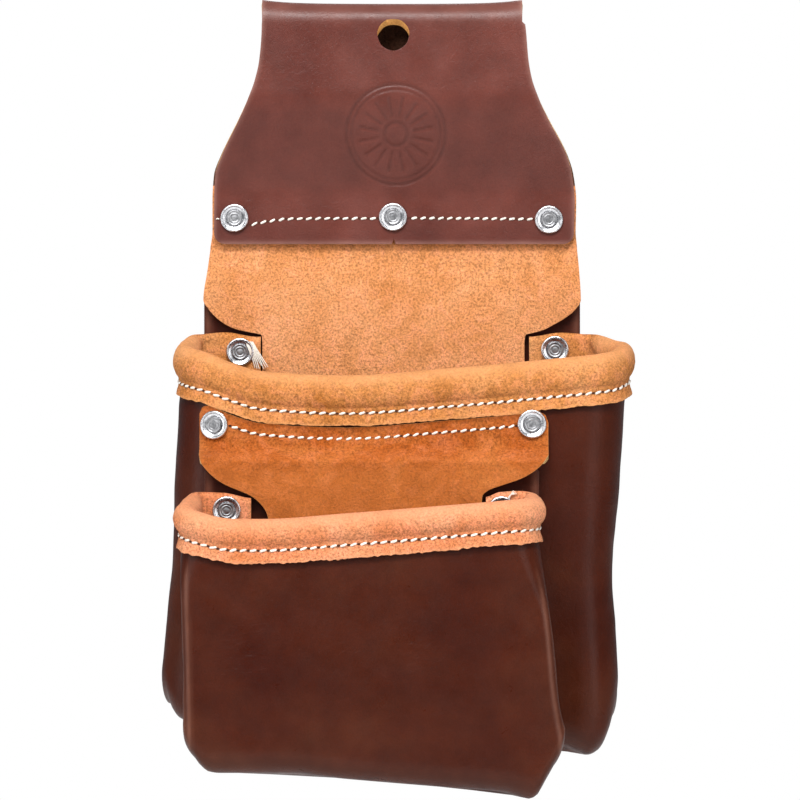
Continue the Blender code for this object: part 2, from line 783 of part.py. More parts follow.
def outer_panel_point(x, z):
    own = OUTER.back_y - BAG_LEATHER / 2
    return Vector((x, mix(front_of_main(x), own, panel_lift(z)), z))


def make_outer_panel(material, main_hinge, outer_hinge):
    """The strip sewn to the main pouch, and below the bend the part that swings."""
    strip = []
    low = OUTER_HINGE_Z + HINGE_SLIT
    for k in range(OUTER_STRIP_STEPS + 1):
        row = []
        for x in panel_columns(OUTER_PANEL_LEFT, OUTER_PANEL_RIGHT):
            z = mix(outer_panel_top(x), low, k / OUTER_STRIP_STEPS)
            row.append(outer_panel_point(x, z))
        strip.append(row)
    fixed = add_sheet("outer_panel_strip", strip, material, BAG_LEATHER, main_hinge)

    rows = []
    top = OUTER_HINGE_Z - HINGE_SLIT
    levels = [top, top - OUTER_BEND_MIDDLE] + [row[0] for row in OUTER_OUTLINE]
    levels.append(OUTER_PANEL_FOOT)
    for z in levels:
        columns = panel_columns(*edges_at(OUTER_OUTLINE, z))
        rows.append([outer_panel_point(x, z) for x in columns])
    swinging = add_sheet("outer_panel", rows, material, BAG_LEATHER, outer_hinge)
    return fixed, swinging


def make_panel_thread(material, hinge):
    """Row of stitching between the two rivets that hold the outer pouch's panel."""
    path = []
    left = OUTER_RIVETS[0][0] + OUTER_STITCH_INSET
    right = OUTER_RIVETS[1][0] - OUTER_STITCH_INSET
    for x in panel_columns(left, right):
        z = outer_panel_top(x) - OUTER_STITCH_DROP
        point = outer_panel_point(x, z)
        path.append(point - Vector((0, GAP + THREAD_RADIUS, 0)))
    add_thread("outer_panel_stitching", path, material, hinge)


def make_flap_thread(name, ends, material):
    """Row of stitching across the flap, between two of its rivets."""
    left, right = ends
    y = FLAP_FACE - GAP - THREAD_RADIUS
    path = [Vector((mix(left, right, k / 4), y, FLAP_RIVETS[1][1])) for k in range(5)]
    add_thread(name, path, material)


def surface_normal_on_main(x):
    """Outward direction of the main pouch's front at x."""
    step = 0.002
    slope = (front_of_main(x + step) - front_of_main(x - step)) / (2 * step)
    return Vector((slope, -1.0, 0.0)).normalized()


def build():
    clear_scene()
    grain = make_material("oxblood_leather", (0.19, 0.058, 0.045), 0.42)
    dark = make_material("chestnut_leather", (0.085, 0.018, 0.012), 0.38)
    suede = make_material("tan_suede", (0.62, 0.28, 0.11), 0.95)
    rust = make_material("rust_suede", (0.48, 0.15, 0.045), 0.95)
    peach = make_material("peach_suede", (0.72, 0.36, 0.19), 0.95)
    cord = make_material("filler_cord", (0.70, 0.62, 0.48), 0.9)
    thread = make_material("white_thread", (0.90, 0.84, 0.76), 0.6)
    brown_thread = make_material("brown_thread", (0.16, 0.06, 0.04), 0.6)
    metal = make_material("nickel_plate", (0.60, 0.60, 0.62), 0.25, 1.0)
    dark_metal = make_material("steel", (0.28, 0.28, 0.30), 0.35, 1.0)

    outer_hinge_y = front_of_main(0.0)
    main = add_hinge("main_pouch_hinge", MAIN_HINGE)
    outer = add_hinge("outer_pouch_hinge", Vector((0.0, outer_hinge_y, OUTER_HINGE_Z)))

    loop = make_belt_loop(grain)
    panel = make_back_panel(suede, main)
    strip, outer_panel = make_outer_panel(rust, main, outer)
    make_flap_thread("flap_stitching_left", FLAP_STITCHING[0], thread)
    make_flap_thread("flap_stitching_right", FLAP_STITCHING[1], thread)
    make_panel_thread(thread, main)

    shells = {}
    walls = {}
    bindings = {}
    lining = {"main": suede, "outer": peach}
    feet = {"main": PANEL_FOOT - GAP, "outer": OUTER_PANEL_FOOT - GAP}
    for pouch, hinge in ((MAIN, main), (OUTER, outer)):
        name = pouch.name
        shells[name] = make_shell(pouch, dark, hinge)
        cut_window(pouch, shells[name], feet[name])
        walls[name] = make_rear_wall(pouch, dark, hinge)
        bindings[name] = make_binding(pouch, lining[name], hinge)
        make_core(pouch, cord, hinge)
        make_rim_thread(pouch, thread, hinge)
        make_back_seam(pouch, brown_thread, hinge)

    ahead = Vector((0, -1, 0))
    for side, (x, z) in zip(("left", "middle", "right"), FLAP_RIVETS):
        add_rivet("flap_" + side, Vector((x, FLAP_FACE, z)), ahead, -FLAP_FACE, metal, dark_metal,
                  None, [loop])
    for pouch, hinge in ((MAIN, main), (OUTER, outer)):
        name = pouch.name
        near = BAG_LEATHER / 2 + BINDING_SPACE + SUEDE + MOUTH_RIVET_SLACK
        front = pouch.back_y - near
        back = pouch.back_y + BAG_LEATHER / 2 + REAR_WALL_SPACE + BAG_LEATHER
        for side, (x, z) in zip(("left", "right"), pouch.mouth_rivets):
            add_rivet(name + "_mouth_" + side, Vector((x, front, z)), ahead, back - front, metal,
                      dark_metal, hinge, [shells[name], walls[name], bindings[name]])
    stack = BAG_LEATHER * 2 + 2 * GAP + CURVED_BACK_SLACK
    for side, (x, z) in zip(("left", "right"), OUTER_RIVETS):
        add_rivet("panel_" + side, outer_panel_point(x, z), surface_normal_on_main(x), stack,
                  metal, dark_metal, main, [strip, shells["main"]])


build()
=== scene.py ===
"""Looks of the leather electrician's tool pouch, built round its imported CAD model.

Metres, +Z up, front towards -Y, right side seen from the front +X. The origin is the middle of the
belt tunnel, on the flat rear face of the strap.
"""
import math
import random

import bmesh
import bpy
import numpy as np
from mathutils import Matrix, Vector, noise


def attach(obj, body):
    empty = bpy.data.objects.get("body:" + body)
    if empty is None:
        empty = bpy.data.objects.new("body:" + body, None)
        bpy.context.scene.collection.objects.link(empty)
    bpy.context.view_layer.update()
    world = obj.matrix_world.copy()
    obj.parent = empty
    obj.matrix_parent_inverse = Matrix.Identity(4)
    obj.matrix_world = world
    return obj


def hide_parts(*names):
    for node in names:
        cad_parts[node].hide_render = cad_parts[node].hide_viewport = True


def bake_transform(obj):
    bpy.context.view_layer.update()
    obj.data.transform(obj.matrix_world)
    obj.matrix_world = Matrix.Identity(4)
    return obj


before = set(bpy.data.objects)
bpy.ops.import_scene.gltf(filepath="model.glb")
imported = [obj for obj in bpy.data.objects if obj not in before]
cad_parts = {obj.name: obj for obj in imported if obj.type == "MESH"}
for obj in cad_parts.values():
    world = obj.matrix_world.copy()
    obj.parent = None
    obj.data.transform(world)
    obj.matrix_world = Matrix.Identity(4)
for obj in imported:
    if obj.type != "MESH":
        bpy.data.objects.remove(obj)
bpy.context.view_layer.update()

random.seed(719)

# ---- Sizes shared with the CAD model --------------------------------------------------------------

BELT_LEATHER = 0.0032
BAG_LEATHER = 0.0028
SUEDE = 0.0016
GAP = 0.0003
OUTER_HINGE_Z = -0.1870
FOLD_TOP = 0.0555
FOLD_RADIUS = 0.011
FLAP_BOTTOM = -0.0764
FLAP_CORNER = 0.006
FLAP_FACE = -(2 * BELT_LEATHER + GAP)
TUNNEL_FOOT = -0.052
TUNNEL_FULL = 0.008
REAR_EXTRA_WIDTH = 0.0010
HANGING_HOLE_Z = 0.0372
HANGING_HOLE_RADIUS = 0.0087
HANGING_HOLE_LEAN = math.radians(44)
HANGING_HOLE_STEPS = 64
HOLE_CUTTER_REACH = 0.010
PANEL_FOOT = -0.3150
FLAT_CAP = 0.0035
FULL_FROM = 0.42
ROLL_BULGE = 0.0029
BINDING_SPACE = GAP + 0.0001
STITCH_UNDER_ROLL = 0.0012
REAR_WALL_SPACE = 0.0022
WALL_CORNER = 0.010
SEAM_INSET = 0.007
SEAM_ABOVE_FOOT = 0.009
SEAM_BEND = 0.012
RIM_PITCH = 0.0053
FLAP_PITCH = 0.0049
PANEL_PITCH = 0.0051
SEAM_PITCH = 0.0050
OUTER_PANEL_FOOT = -0.3380
OUTER_PANEL_EDGES = (-0.1040, 0.0835)
OUTER_BEND_LOW = -0.1955
FLAP_RIVETS = ((-0.0870, -0.0622), (0.0000, -0.0616), (0.0856, -0.0630))
OUTER_RIVETS = ((-0.0958, -0.1754), (0.0747, -0.1749))

# (height, left edge, right edge) of the strap, the back panel and the outer pouch's panel
STRAP_OUTLINE = ((-0.0687, -0.0982, 0.0994), (-0.0523, -0.0982, 0.0997), (-0.0386, -0.0974, 0.0982),
                 (-0.0277, -0.0936, 0.0950), (-0.0088, -0.0842, 0.0850), (0.0021, -0.0793, 0.0798),
                 (0.0129, -0.0754, 0.0760), (0.0238, -0.0730, 0.0740), (0.0400, -0.0717, 0.0726),
                 (0.0537, -0.0715, 0.0706))
PANEL_OUTLINE = ((-0.0800, -0.1004, 0.1012), (-0.0900, -0.1018, 0.1022),
                 (-0.1070, -0.1042, 0.1032), (-0.1125, -0.1010, 0.1000),
                 (-0.1170, -0.0968, 0.0945), (-0.1208, -0.0915, 0.0880),
                 (-0.1236, -0.0845, 0.0825), (-0.1250, -0.0775, 0.0775),
                 (-0.1262, -0.0722, 0.0728), (-0.1300, -0.0718, 0.0722))
OUTER_OUTLINE = ((-0.1914, -0.1040, 0.0835), (-0.1955, -0.1027, 0.0806),
                 (-0.1995, -0.0998, 0.0765), (-0.2040, -0.0950, 0.0690),
                 (-0.2075, -0.0895, 0.0590), (-0.2105, -0.0825, 0.0510),
                 (-0.2134, -0.0760, 0.0480), (-0.2175, -0.0710, 0.0476),
                 (-0.2220, -0.0678, 0.0475), (-0.2280, -0.0660, 0.0475))


class Pouch:
    """The driving sizes of one pouch."""

    def __init__(self, **sizes):
        self.__dict__.update(sizes)


MAIN = Pouch(
    name="main",
    body="main_pouch",
    back_y=-0.0015,
    front_y=-0.0666,
    back_corners=(-0.1080, 0.1090),
    wall_edges=(-0.1040, 0.1030),
    widest_at_rim=(-0.1130, 0.1250),
    left_side=((-0.3270, -0.1206), (-0.3164, -0.1236), (-0.3071, -0.1230), (-0.2756, -0.1203),
               (-0.2490, -0.1176), (-0.2055, -0.1160), (-0.1593, -0.1143)),
    right_side=((-0.3308, 0.1180), (-0.3166, 0.1196), (-0.2900, 0.1186), (-0.2709, 0.1174),
                (-0.2573, 0.1176), (-0.2165, 0.1208), (-0.1783, 0.1235), (-0.1593, 0.1250)),
    back_radius=0.011,
    rim_radii=(0.026, 0.022),
    low_radii=(0.022, 0.018),
    crease=(-0.2000, -0.2800),
    floor_mid=-0.3440,
    floor_slope=0.080,
    floor_line=((-0.1240, -0.3260), (-0.1216, -0.3310), (-0.1179, -0.3345), (-0.1100, -0.3362),
                (-0.0900, -0.3368), (0.0937, -0.3488), (0.1030, -0.3520), (0.1075, -0.3538),
                (0.1125, -0.3515), (0.1165, -0.3440), (0.1200, -0.3330)),
    floor_radius=0.016,
    roll_height=0.0195,
    binding_height=0.0275,
    window=(-0.0724, 0.0745),
    rim_back=((-0.1050, -0.1258), (-0.0920, -0.1248), (-0.0750, -0.1272), (0.0750, -0.1272),
              (0.0920, -0.1250), (0.1050, -0.1258)),
    rim_front=((-0.120, -0.1325), (-0.101, -0.1362), (-0.0874, -0.1416), (-0.0703, -0.1464),
               (-0.0257, -0.1486), (0.0307, -0.1448), (0.0833, -0.1400), (0.1166, -0.1362),
               (0.1270, -0.1320)),
    wall_top=-0.1040,
    seam_top=-0.1120,
    foot=PANEL_FOOT,
    mouth_rivets=((-0.0840, -0.1356), (0.0889, -0.1345)),
)
OUTER = Pouch(
    name="outer",
    body="outer_pouch",
    back_y=-0.0770,
    front_y=-0.1270,
    back_corners=(-0.1055, 0.0745),
    wall_edges=(-0.1010, 0.0785),
    widest_at_rim=(-0.1100, 0.0748),
    left_side=((-0.3288, -0.1088), (-0.2900, -0.1097), (-0.2463, -0.1107), (-0.2300, -0.1100)),
    right_side=((-0.3394, 0.0900), (-0.3151, 0.0860), (-0.2808, 0.0827), (-0.2549, 0.0790),
                (-0.2465, 0.0775), (-0.2300, 0.0748)),
    back_radius=0.006,
    rim_radii=(0.014, 0.014),
    low_radii=(0.0030, 0.0030),
    crease=(-0.2350, -0.2750),
    floor_mid=-0.3650,
    floor_slope=0.072,
    floor_line=((-0.1105, -0.3410), (-0.1074, -0.3490), (-0.1035, -0.3550), (-0.0989, -0.3585),
                (-0.0937, -0.3592), (-0.0595, -0.3591), (-0.0252, -0.3623), (0.0265, -0.3665),
                (0.0608, -0.3692), (0.0700, -0.3718), (0.0740, -0.3728), (0.0772, -0.3716),
                (0.0819, -0.3640), (0.0880, -0.3530), (0.0905, -0.3470)),
    floor_radius=0.012,
    roll_height=0.0155,
    binding_height=0.0235,
    window=(-0.0756, 0.0496),
    rim_back=((-0.1006, -0.2113), (-0.0899, -0.2118), (-0.0750, -0.2146), (0.0494, -0.2140),
              (0.0574, -0.2113), (0.0680, -0.2107), (0.0762, -0.2118)),
    rim_front=((-0.1110, -0.2175), (-0.1014, -0.2210), (-0.0856, -0.2244), (-0.0688, -0.2246),
               (-0.0225, -0.2215), (0.0302, -0.2173), (0.0496, -0.2157), (0.0745, -0.2135)),
    wall_top=-0.1965,
    seam_top=-0.2300,
    foot=OUTER_PANEL_FOOT,
    mouth_rivets=((-0.0890, -0.2212), (0.0582, -0.2212)),
)


# ---- Numbers and curves ---------------------------------------------------------------------------

def ease(t):
    t = min(1.0, max(0.0, t))
    return t * t * (3 - 2 * t)


def mix(a, b, t):
    return a + (b - a) * t


def hump(x, middle, width):
    """1 at the middle, falling smoothly to 0 a few widths away."""
    return math.exp(-((x - middle) / width) ** 2)


def along(knots, x):
    """A smooth value at x through rising (x, value) knots, held level past both ends."""
    if x <= knots[0][0]:
        return knots[0][1]
    if x >= knots[-1][0]:
        return knots[-1][1]
    slopes = [(b[1] - a[1]) / (b[0] - a[0]) for a, b in zip(knots, knots[1:])]
    tangents = [slopes[0]]
    for a, b in zip(slopes, slopes[1:]):
        tangents.append(2 * a * b / (a + b) if a * b > 0 else 0.0)
    tangents.append(slopes[-1])
    i = max(k for k in range(len(slopes)) if knots[k][0] <= x)
    wide = knots[i + 1][0] - knots[i][0]
    t = (x - knots[i][0]) / wide
    start, end = knots[i][1], knots[i + 1][1]
    bend = wide * (tangents[i] * t * (1 - t) ** 2 - tangents[i + 1] * t * t * (1 - t))
    return mix(start, end, ease(t)) + bend


def lump(point, size, seed):
    """Smooth noise from -1 to 1 whose bumps are about `size` across."""
    offset = Vector((seed * 7.31, seed * -3.17, seed * 1.73))
    return noise.noise(Vector(point) / size + offset)


def lengths(points):
    """Distance along a line of points, from its start."""
    steps = [(b - a).length for a, b in zip(points, points[1:])]
    return [0.0] + list(np.cumsum(steps))


def resample(points, count):
    """`count` points evenly spaced along a line."""
    table = np.array([tuple(p) for p in points])
    far = np.array(lengths(points))
    wanted = np.linspace(0, far[-1], count)
    columns = [np.interp(wanted, far, table[:, k]) for k in range(table.shape[1])]
    return [Vector(row) for row in zip(*columns)]


# ---- Materials ------------------------------------------------------------------------------------

class Finish:
    """A material made of procedural nodes, in the piece's own coordinates."""

    def __init__(self, name, roughness=0.5, metallic=0.0):
        self.material = bpy.data.materials.new(name)
        self.material.use_nodes = True
        self.tree = self.material.node_tree
        self.shader = self.tree.nodes["Principled BSDF"]
        self.set("Roughness", roughness)
        self.set("Metallic", metallic)
        self.place = self.add("ShaderNodeTexCoord").outputs["Object"]

    def set(self, socket, value):
        self.shader.inputs[socket].default_value = value

    def add(self, kind, **settings):
        node = self.tree.nodes.new(kind)
        for key, value in settings.items():
            setattr(node, key, value)
        return node

    def link(self, source, target):
        self.tree.links.new(source, target)

    def feed(self, source, socket):
        self.link(source, self.shader.inputs[socket])

    def stretched(self, scale):
        node = self.add("ShaderNodeMapping")
        node.inputs["Scale"].default_value = scale
        self.link(self.place, node.inputs["Vector"])
        return node.outputs["Vector"]

    def noise(self, scale, detail=2.0, rough=0.5, distortion=0.0, where=None):
        node = self.add("ShaderNodeTexNoise")
        for key, value in (("Scale", scale), ("Detail", detail), ("Roughness", rough),
                           ("Distortion", distortion)):
            node.inputs[key].default_value = value
        self.link(where or self.place, node.inputs["Vector"])
        return node.outputs["Fac"]

    def cells(self, scale):
        node = self.add("ShaderNodeTexVoronoi")
        node.inputs["Scale"].default_value = scale
        self.link(self.place, node.inputs["Vector"])
        return node.outputs["Distance"]

    def ramp(self, value, *stops):
        node = self.add("ShaderNodeValToRGB")
        band = node.color_ramp.elements
        while len(band) < len(stops):
            band.new(0.5)
        for element, (place, colour) in zip(band, stops):
            element.position = place
            element.color = (*colour, 1.0) if hasattr(colour, "__len__") else (colour,) * 3 + (1.0,)
        self.link(value, node.inputs["Fac"])
        return node.outputs["Color"]

    def put(self, value, socket):
        """Links another socket, or sets a colour or a number."""
        if isinstance(value, bpy.types.NodeSocket):
            self.link(value, socket)
        elif hasattr(value, "__len__"):
            socket.default_value = (*value, 1.0)
        else:
            socket.default_value = value

    def blend(self, a, b, share, kind="MIX"):
        """a and b are sockets or colours; share is a socket or a number."""
        node = self.add("ShaderNodeMix", data_type="RGBA", blend_type=kind, clamp_factor=True)
        for value, socket in ((share, node.inputs[0]), (a, node.inputs[6]), (b, node.inputs[7])):
            self.put(value, socket)
        return node.outputs[2]

    def product(self, a, b):
        node = self.add("ShaderNodeMath", operation="MULTIPLY")
        self.put(a, node.inputs[0])
        self.put(b, node.inputs[1])
        return node.outputs[0]

    def painted(self, name):
        """A value painted on the mesh's points."""
        return self.add("ShaderNodeAttribute", attribute_name=name).outputs["Fac"]

    def bumps(self, *layers):
        """Each layer is (height socket, depth in metres)."""
        last = None
        for height, depth in layers:
            node = self.add("ShaderNodeBump")
            node.inputs["Strength"].default_value = 1.0
            node.inputs["Distance"].default_value = depth
            self.link(height, node.inputs["Height"])
            if last:
                self.link(last, node.inputs["Normal"])
            last = node.outputs["Normal"]
        self.feed(last, "Normal")


def grain_leather(name, deep, middle, pale, wear_and_highlight_colour, roughness, gloss, coat, creases=()):
    """Smooth waxed leather: mottled colour, pores, fine creases, paler where it is worn and where a
    highlight is painted, and darker where shade is painted.
    """
    f = Finish(name, roughness)
    cloud = f.noise(14, 4, 0.55, 0.4)
    patch = f.noise(55, 3, 0.6)
    fine = f.noise(900, 3, 0.6)
    colour = f.ramp(cloud, (0.30, deep), (0.52, middle), (0.74, pale))
    colour = f.blend(colour, f.ramp(patch, (0.30, 0.72), (0.70, 1.22)), 0.55, "MULTIPLY")
    colour = f.blend(colour, f.ramp(fine, (0.30, 0.80), (0.70, 1.15)), 0.45, "MULTIPLY")
    pores = f.cells(780)
    pits = f.ramp(pores, (0.0, 0.0), (0.22, 1.0))
    colour = f.blend(colour, f.ramp(pores, (0.02, 0.62), (0.20, 1.0)), 0.5, "MULTIPLY")
    # The pale mark is partly rubbed wear and partly painted highlight on folds and edges.
    wear_and_highlight_share = f.product(f.painted("wear_and_highlight"), f.ramp(patch, (0.25, 0.55), (0.75, 1.0)))
    colour = f.blend(colour, wear_and_highlight_colour, wear_and_highlight_share)
    shade = f.painted("shade")
    colour = f.blend(colour, (0.0, 0.0, 0.0), shade)
    f.feed(colour, "Base Color")
    dull = f.ramp(f.noise(70, 4, 0.6), (0.30, roughness - 0.07), (0.70, roughness + 0.10))
    f.feed(dull, "Roughness")
    f.set("Specular IOR Level", gloss)
    f.set("Coat Weight", coat)
    f.set("Coat Roughness", 0.34)
    wrinkle = f.noise(260, 5, 0.62, 1.2)
    layers = [(wrinkle, 0.00022), (pits, 0.00009), (fine, 0.00006)]
    for centre, reach, turn in creases:
        layers.append((crease_patch(f, centre, reach, turn), 0.00040))
    f.bumps(*layers)
    return f.material


def crease_patch(f, centre, reach, turn):
    """Fine parallel creases that fade out away from a centre."""
    aim = f.add("ShaderNodeMapping", vector_type="POINT")
    aim.inputs["Rotation"].default_value = (0, turn, 0)
    aim.inputs["Scale"].default_value = (110, 110, 330)
    f.link(f.place, aim.inputs["Vector"])
    lines = f.noise(1.0, 3, 0.5, 0.8, aim.outputs["Vector"])
    away = f.add("ShaderNodeVectorMath", operation="DISTANCE")
    f.link(f.place, away.inputs[0])
    away.inputs[1].default_value = centre
    near = f.ramp(f.product(away.outputs["Value"], 1 / reach), (0.2, 1.0), (1.0, 0.0))
    return f.product(lines, near)


def suede(name, deep, middle, pale, rosy, nap=1.0):
    """Napped leather: cloudy colour, streaks where the nap is brushed, a fine speckle, paler under
    the painted wear and highlight mark, and darker under painted shade.
    """
    f = Finish(name, 0.95)
    cloud = f.noise(26, 4, 0.6, 0.5)
    brushed = f.noise(120, 5, 0.65, 0.9)
    speck = f.noise(820, 4, 0.72)
    fibre = f.noise(2200, 2, 0.6)
    colour = f.ramp(cloud, (0.28, deep), (0.50, middle), (0.74, pale))
    colour = f.blend(colour, rosy, f.ramp(brushed, (0.46, 0.0), (0.72, 0.55)))
    colour = f.blend(colour, f.ramp(brushed, (0.30, 0.80), (0.66, 1.12)), 0.7, "MULTIPLY")
    colour = f.blend(colour, f.ramp(speck, (0.36, 0.45), (0.50, 1.0), (0.64, 1.34)), 0.85 * nap,
                     "MULTIPLY")
    colour = f.blend(colour, f.ramp(fibre, (0.30, 0.74), (0.70, 1.20)), 0.6 * nap, "MULTIPLY")
    # Paler where wear is painted and where a highlight is painted: the roll's crown and the outer
    # panel's lower part.
    colour = f.blend(colour, pale, f.painted("wear_and_highlight"))
    colour = f.blend(colour, [c * 0.16 for c in deep], f.painted("shade"))
    f.feed(colour, "Base Color")
    f.set("Specular IOR Level", 0.05)
    f.set("Sheen Weight", 0.10)
    f.set("Sheen Roughness", 0.5)
    f.set("Sheen Tint", (1.0, 0.70, 0.50, 1.0))
    f.bumps((brushed, 0.0007), (speck, 0.00055), (fibre, 0.00022))
    return f.material


def cut_edge(name, dark, light):
    """Raw cut edge of leather: packed fibres in bands along the edge."""
    f = Finish(name, 0.9)
    fibres = f.noise(1800, 3, 0.7)
    patch = f.noise(200, 3, 0.6)
    colour = f.ramp(fibres, (0.30, dark), (0.68, light))
    colour = f.blend(colour, f.ramp(patch, (0.30, 0.72), (0.70, 1.15)), 0.7, "MULTIPLY")
    colour = f.blend(colour, [c * 0.2 for c in dark], f.painted("shade"))
    f.feed(colour, "Base Color")
    f.set("Specular IOR Level", 0.2)
    f.bumps((fibres, 0.0003), (patch, 0.0003))
    return f.material


def thread_finish(name, shadow, light):
    """Waxed sewing thread."""
    f = Finish(name, 0.55)
    fibres = f.noise(2400, 3, 0.65)
    patch = f.noise(160, 2, 0.5)
    colour = f.ramp(fibres, (0.30, shadow), (0.62, light))
    colour = f.blend(colour, f.ramp(patch, (0.35, 0.86), (0.65, 1.05)), 0.7, "MULTIPLY")
    f.feed(colour, "Base Color")
    f.set("Specular IOR Level", 0.35)
    f.bumps((fibres, 0.00012))
    return f.material


def metal_finish(name, shadow, light, roughness, scratch):
    """Plated metal: fine turning marks, a few scratches and dull spots."""
    f = Finish(name, roughness, 1.0)
    spots = f.noise(420, 4, 0.6)
    marks = f.noise(1.0, 3, 0.6, 0.0, f.stretched((300, 2600, 2600)))
    colour = f.ramp(spots, (0.28, shadow), (0.60, light))
    f.feed(colour, "Base Color")
    dull = f.product(spots, marks)
    gloss = f.ramp(dull, (0.08, roughness - 0.06), (0.42, roughness + 0.16))
    f.feed(gloss, "Roughness")
    f.bumps((marks, scratch), (spots, scratch))
    return f.material


def cord_finish(name):
    """Twisted filler cord."""
    f = Finish(name, 0.85)
    twist = f.noise(900, 3, 0.6, 0.0, f.stretched((1, 1, 3)))
    f.feed(f.ramp(twist, (0.3, (0.42, 0.33, 0.22)), (0.7, (0.72, 0.62, 0.46))), "Base Color")
    f.bumps((twist, 0.0005))
    return f.material


OXBLOOD = grain_leather("oxblood_grain", (0.081, 0.0168, 0.0114), (0.103, 0.024, 0.0161),
                        (0.125, 0.033, 0.024), (0.40, 0.22, 0.18), 0.36, 0.24, 0.08)
CHESTNUT = grain_leather("chestnut_grain", (0.036, 0.0045, 0.0011), (0.051, 0.0087, 0.0027),
                         (0.066, 0.0156, 0.0060), (0.24, 0.105, 0.070), 0.33, 0.13, 0.05,
                         creases=(((0.1085, -0.055, -0.212), 0.028, math.radians(-38)),
                                  ((-0.080, -0.128, -0.297), 0.026, math.radians(28)),
                                  ((0.012, -0.128, -0.300), 0.022, math.radians(-20))))
# Flesh side coloured dark brown as painted shade inside the belt tunnel and the pouches.
SHADED_FLESH = suede("flesh_side_painted_shade", (0.075, 0.030, 0.018), (0.115, 0.048, 0.028), (0.17, 0.078, 0.045),
              (0.14, 0.055, 0.036), 0.8)
TAN = suede("tan_suede_nap", (0.585, 0.221, 0.070), (0.671, 0.275, 0.104), (0.735, 0.339, 0.153),
            (0.711, 0.284, 0.153))
RUST = suede("rust_suede_nap", (0.344, 0.071, 0.0083), (0.430, 0.102, 0.0166), (0.533, 0.169, 0.041),
             (0.550, 0.169, 0.066))
BINDING = suede("orange_suede_nap", (0.427, 0.146, 0.029), (0.554, 0.216, 0.063),
                (0.657, 0.302, 0.123), (0.633, 0.238, 0.117))
PEACH = suede("peach_suede_nap", (0.540, 0.156, 0.048), (0.638, 0.221, 0.090),
              (0.720, 0.322, 0.167), (0.695, 0.233, 0.134))
TAN_EDGE = cut_edge("tan_cut_edge", (0.52, 0.27, 0.09), (0.84, 0.56, 0.26))
DARK_EDGE = cut_edge("dyed_cut_edge", (0.060, 0.020, 0.014), (0.20, 0.09, 0.06))
HOLE_EDGE = cut_edge("punched_edge", (0.50, 0.20, 0.05), (0.82, 0.42, 0.13))
WHITE_THREAD = thread_finish("white_thread_wax", (0.62, 0.52, 0.42), (0.92, 0.88, 0.80))
BROWN_THREAD = thread_finish("brown_thread_wax", (0.07, 0.028, 0.018), (0.20, 0.09, 0.06))
# Needle holes coloured near black: painted shade inside the holes.
SHADED_NEEDLE_HOLE = cut_edge("shaded_needle_hole", (0.040, 0.013, 0.008), (0.095, 0.034, 0.018))
NICKEL = metal_finish("nickel_polish", (0.52, 0.52, 0.54), (0.78, 0.78, 0.80), 0.22, 0.000004)
STEEL = metal_finish("steel_dull", (0.20, 0.20, 0.21), (0.40, 0.40, 0.41), 0.32, 0.00001)
CORD = cord_finish("filler_cord_twist")


# ---- Mesh making ----------------------------------------------------------------------------------

def add_object(name, mesh, materials):
    thing = bpy.data.objects.new(name, mesh)
    bpy.context.scene.collection.objects.link(thing)
    for material in materials:
        mesh.materials.append(material)
    return thing


def applied(thing):
    """Gives the object the mesh that its modifiers make."""
    graph = bpy.context.evaluated_depsgraph_get()
    mesh = bpy.data.meshes.new_from_object(thing.evaluated_get(graph),
                                           preserve_all_data_layers=True, depsgraph=graph)
    thing.modifiers.clear()
    thing.data = mesh
    return thing


def smooth(thing, angle=50):
    thing.data.shade_smooth()
    thing.data.set_sharp_from_angle(angle=math.radians(angle))
    return thing


def paint(mesh, name, values):
    layer = mesh.attributes.get(name) or mesh.attributes.new(name, "FLOAT", "POINT")
    layer.data.foreach_set("value", np.array(values, np.float32))


def grid_mesh(rows, closed=False, keep=None, wear_and_highlight=None, shade=None, floor=False):
    """Quads over rows of points. keep(a, b, c, d) says which quads stay."""
    count = len(rows[0])
    points = [p for row in rows for p in row]
    faces = []
    for r in range(len(rows) - 1):
        for c in range(count if closed else count - 1):
            d = (c + 1) % count
            quad = (r * count + c, r * count + d, (r + 1) * count + d, (r + 1) * count + c)
            if keep is None or keep(*[points[i] for i in quad]):
                faces.append(quad)
    if floor:
        start = (len(rows) - 1) * count
        faces.append(tuple(range(start, start + count)))
    mesh = bpy.data.meshes.new("grid")
    mesh.from_pydata(points, [], faces)
    # The first painted value holds pale marks, partly rubbed wear and partly painted highlight; shade
    # holds painted shade.
    paint(mesh, "wear_and_highlight", [wear_and_highlight(p) if wear_and_highlight else 0.0 for p in points])
    paint(mesh, "shade", [shade(p) if shade else 0.0 for p in points])
    used = np.zeros(len(points), bool)
    for face in faces:
        used[list(face)] = True
    if not used.all():
        work = bmesh.new()
        work.from_mesh(mesh)
        work.verts.ensure_lookup_table()
        loose = [work.verts[i] for i in np.nonzero(~used)[0]]
        bmesh.ops.delete(work, geom=loose, context="VERTS")
        work.to_mesh(mesh)
        work.free()
    return mesh


def closed_mesh(name, points, faces):
    """A mesh whose faces all point out."""
    mesh = bpy.data.meshes.new(name)
    mesh.from_pydata(points, [], faces)
    work = bmesh.new()
    work.from_mesh(mesh)
    bmesh.ops.recalc_face_normals(work, faces=work.faces)
    work.to_mesh(mesh)
    work.free()
    return mesh


def tube_faces(base, rings, sides):
    """Quads between rings of points that follow one another, and a cap on each end."""
    faces = []
    for i in range(rings - 1):
        for k in range(sides):
            j = (k + 1) % sides
            a = base + i * sides
            faces.append((a + k, a + j, a + sides + j, a + sides + k))
    last = base + (rings - 1) * sides
    faces.append(tuple(base + k for k in reversed(range(sides))))
    faces.append(tuple(last + k for k in range(sides)))
    return faces


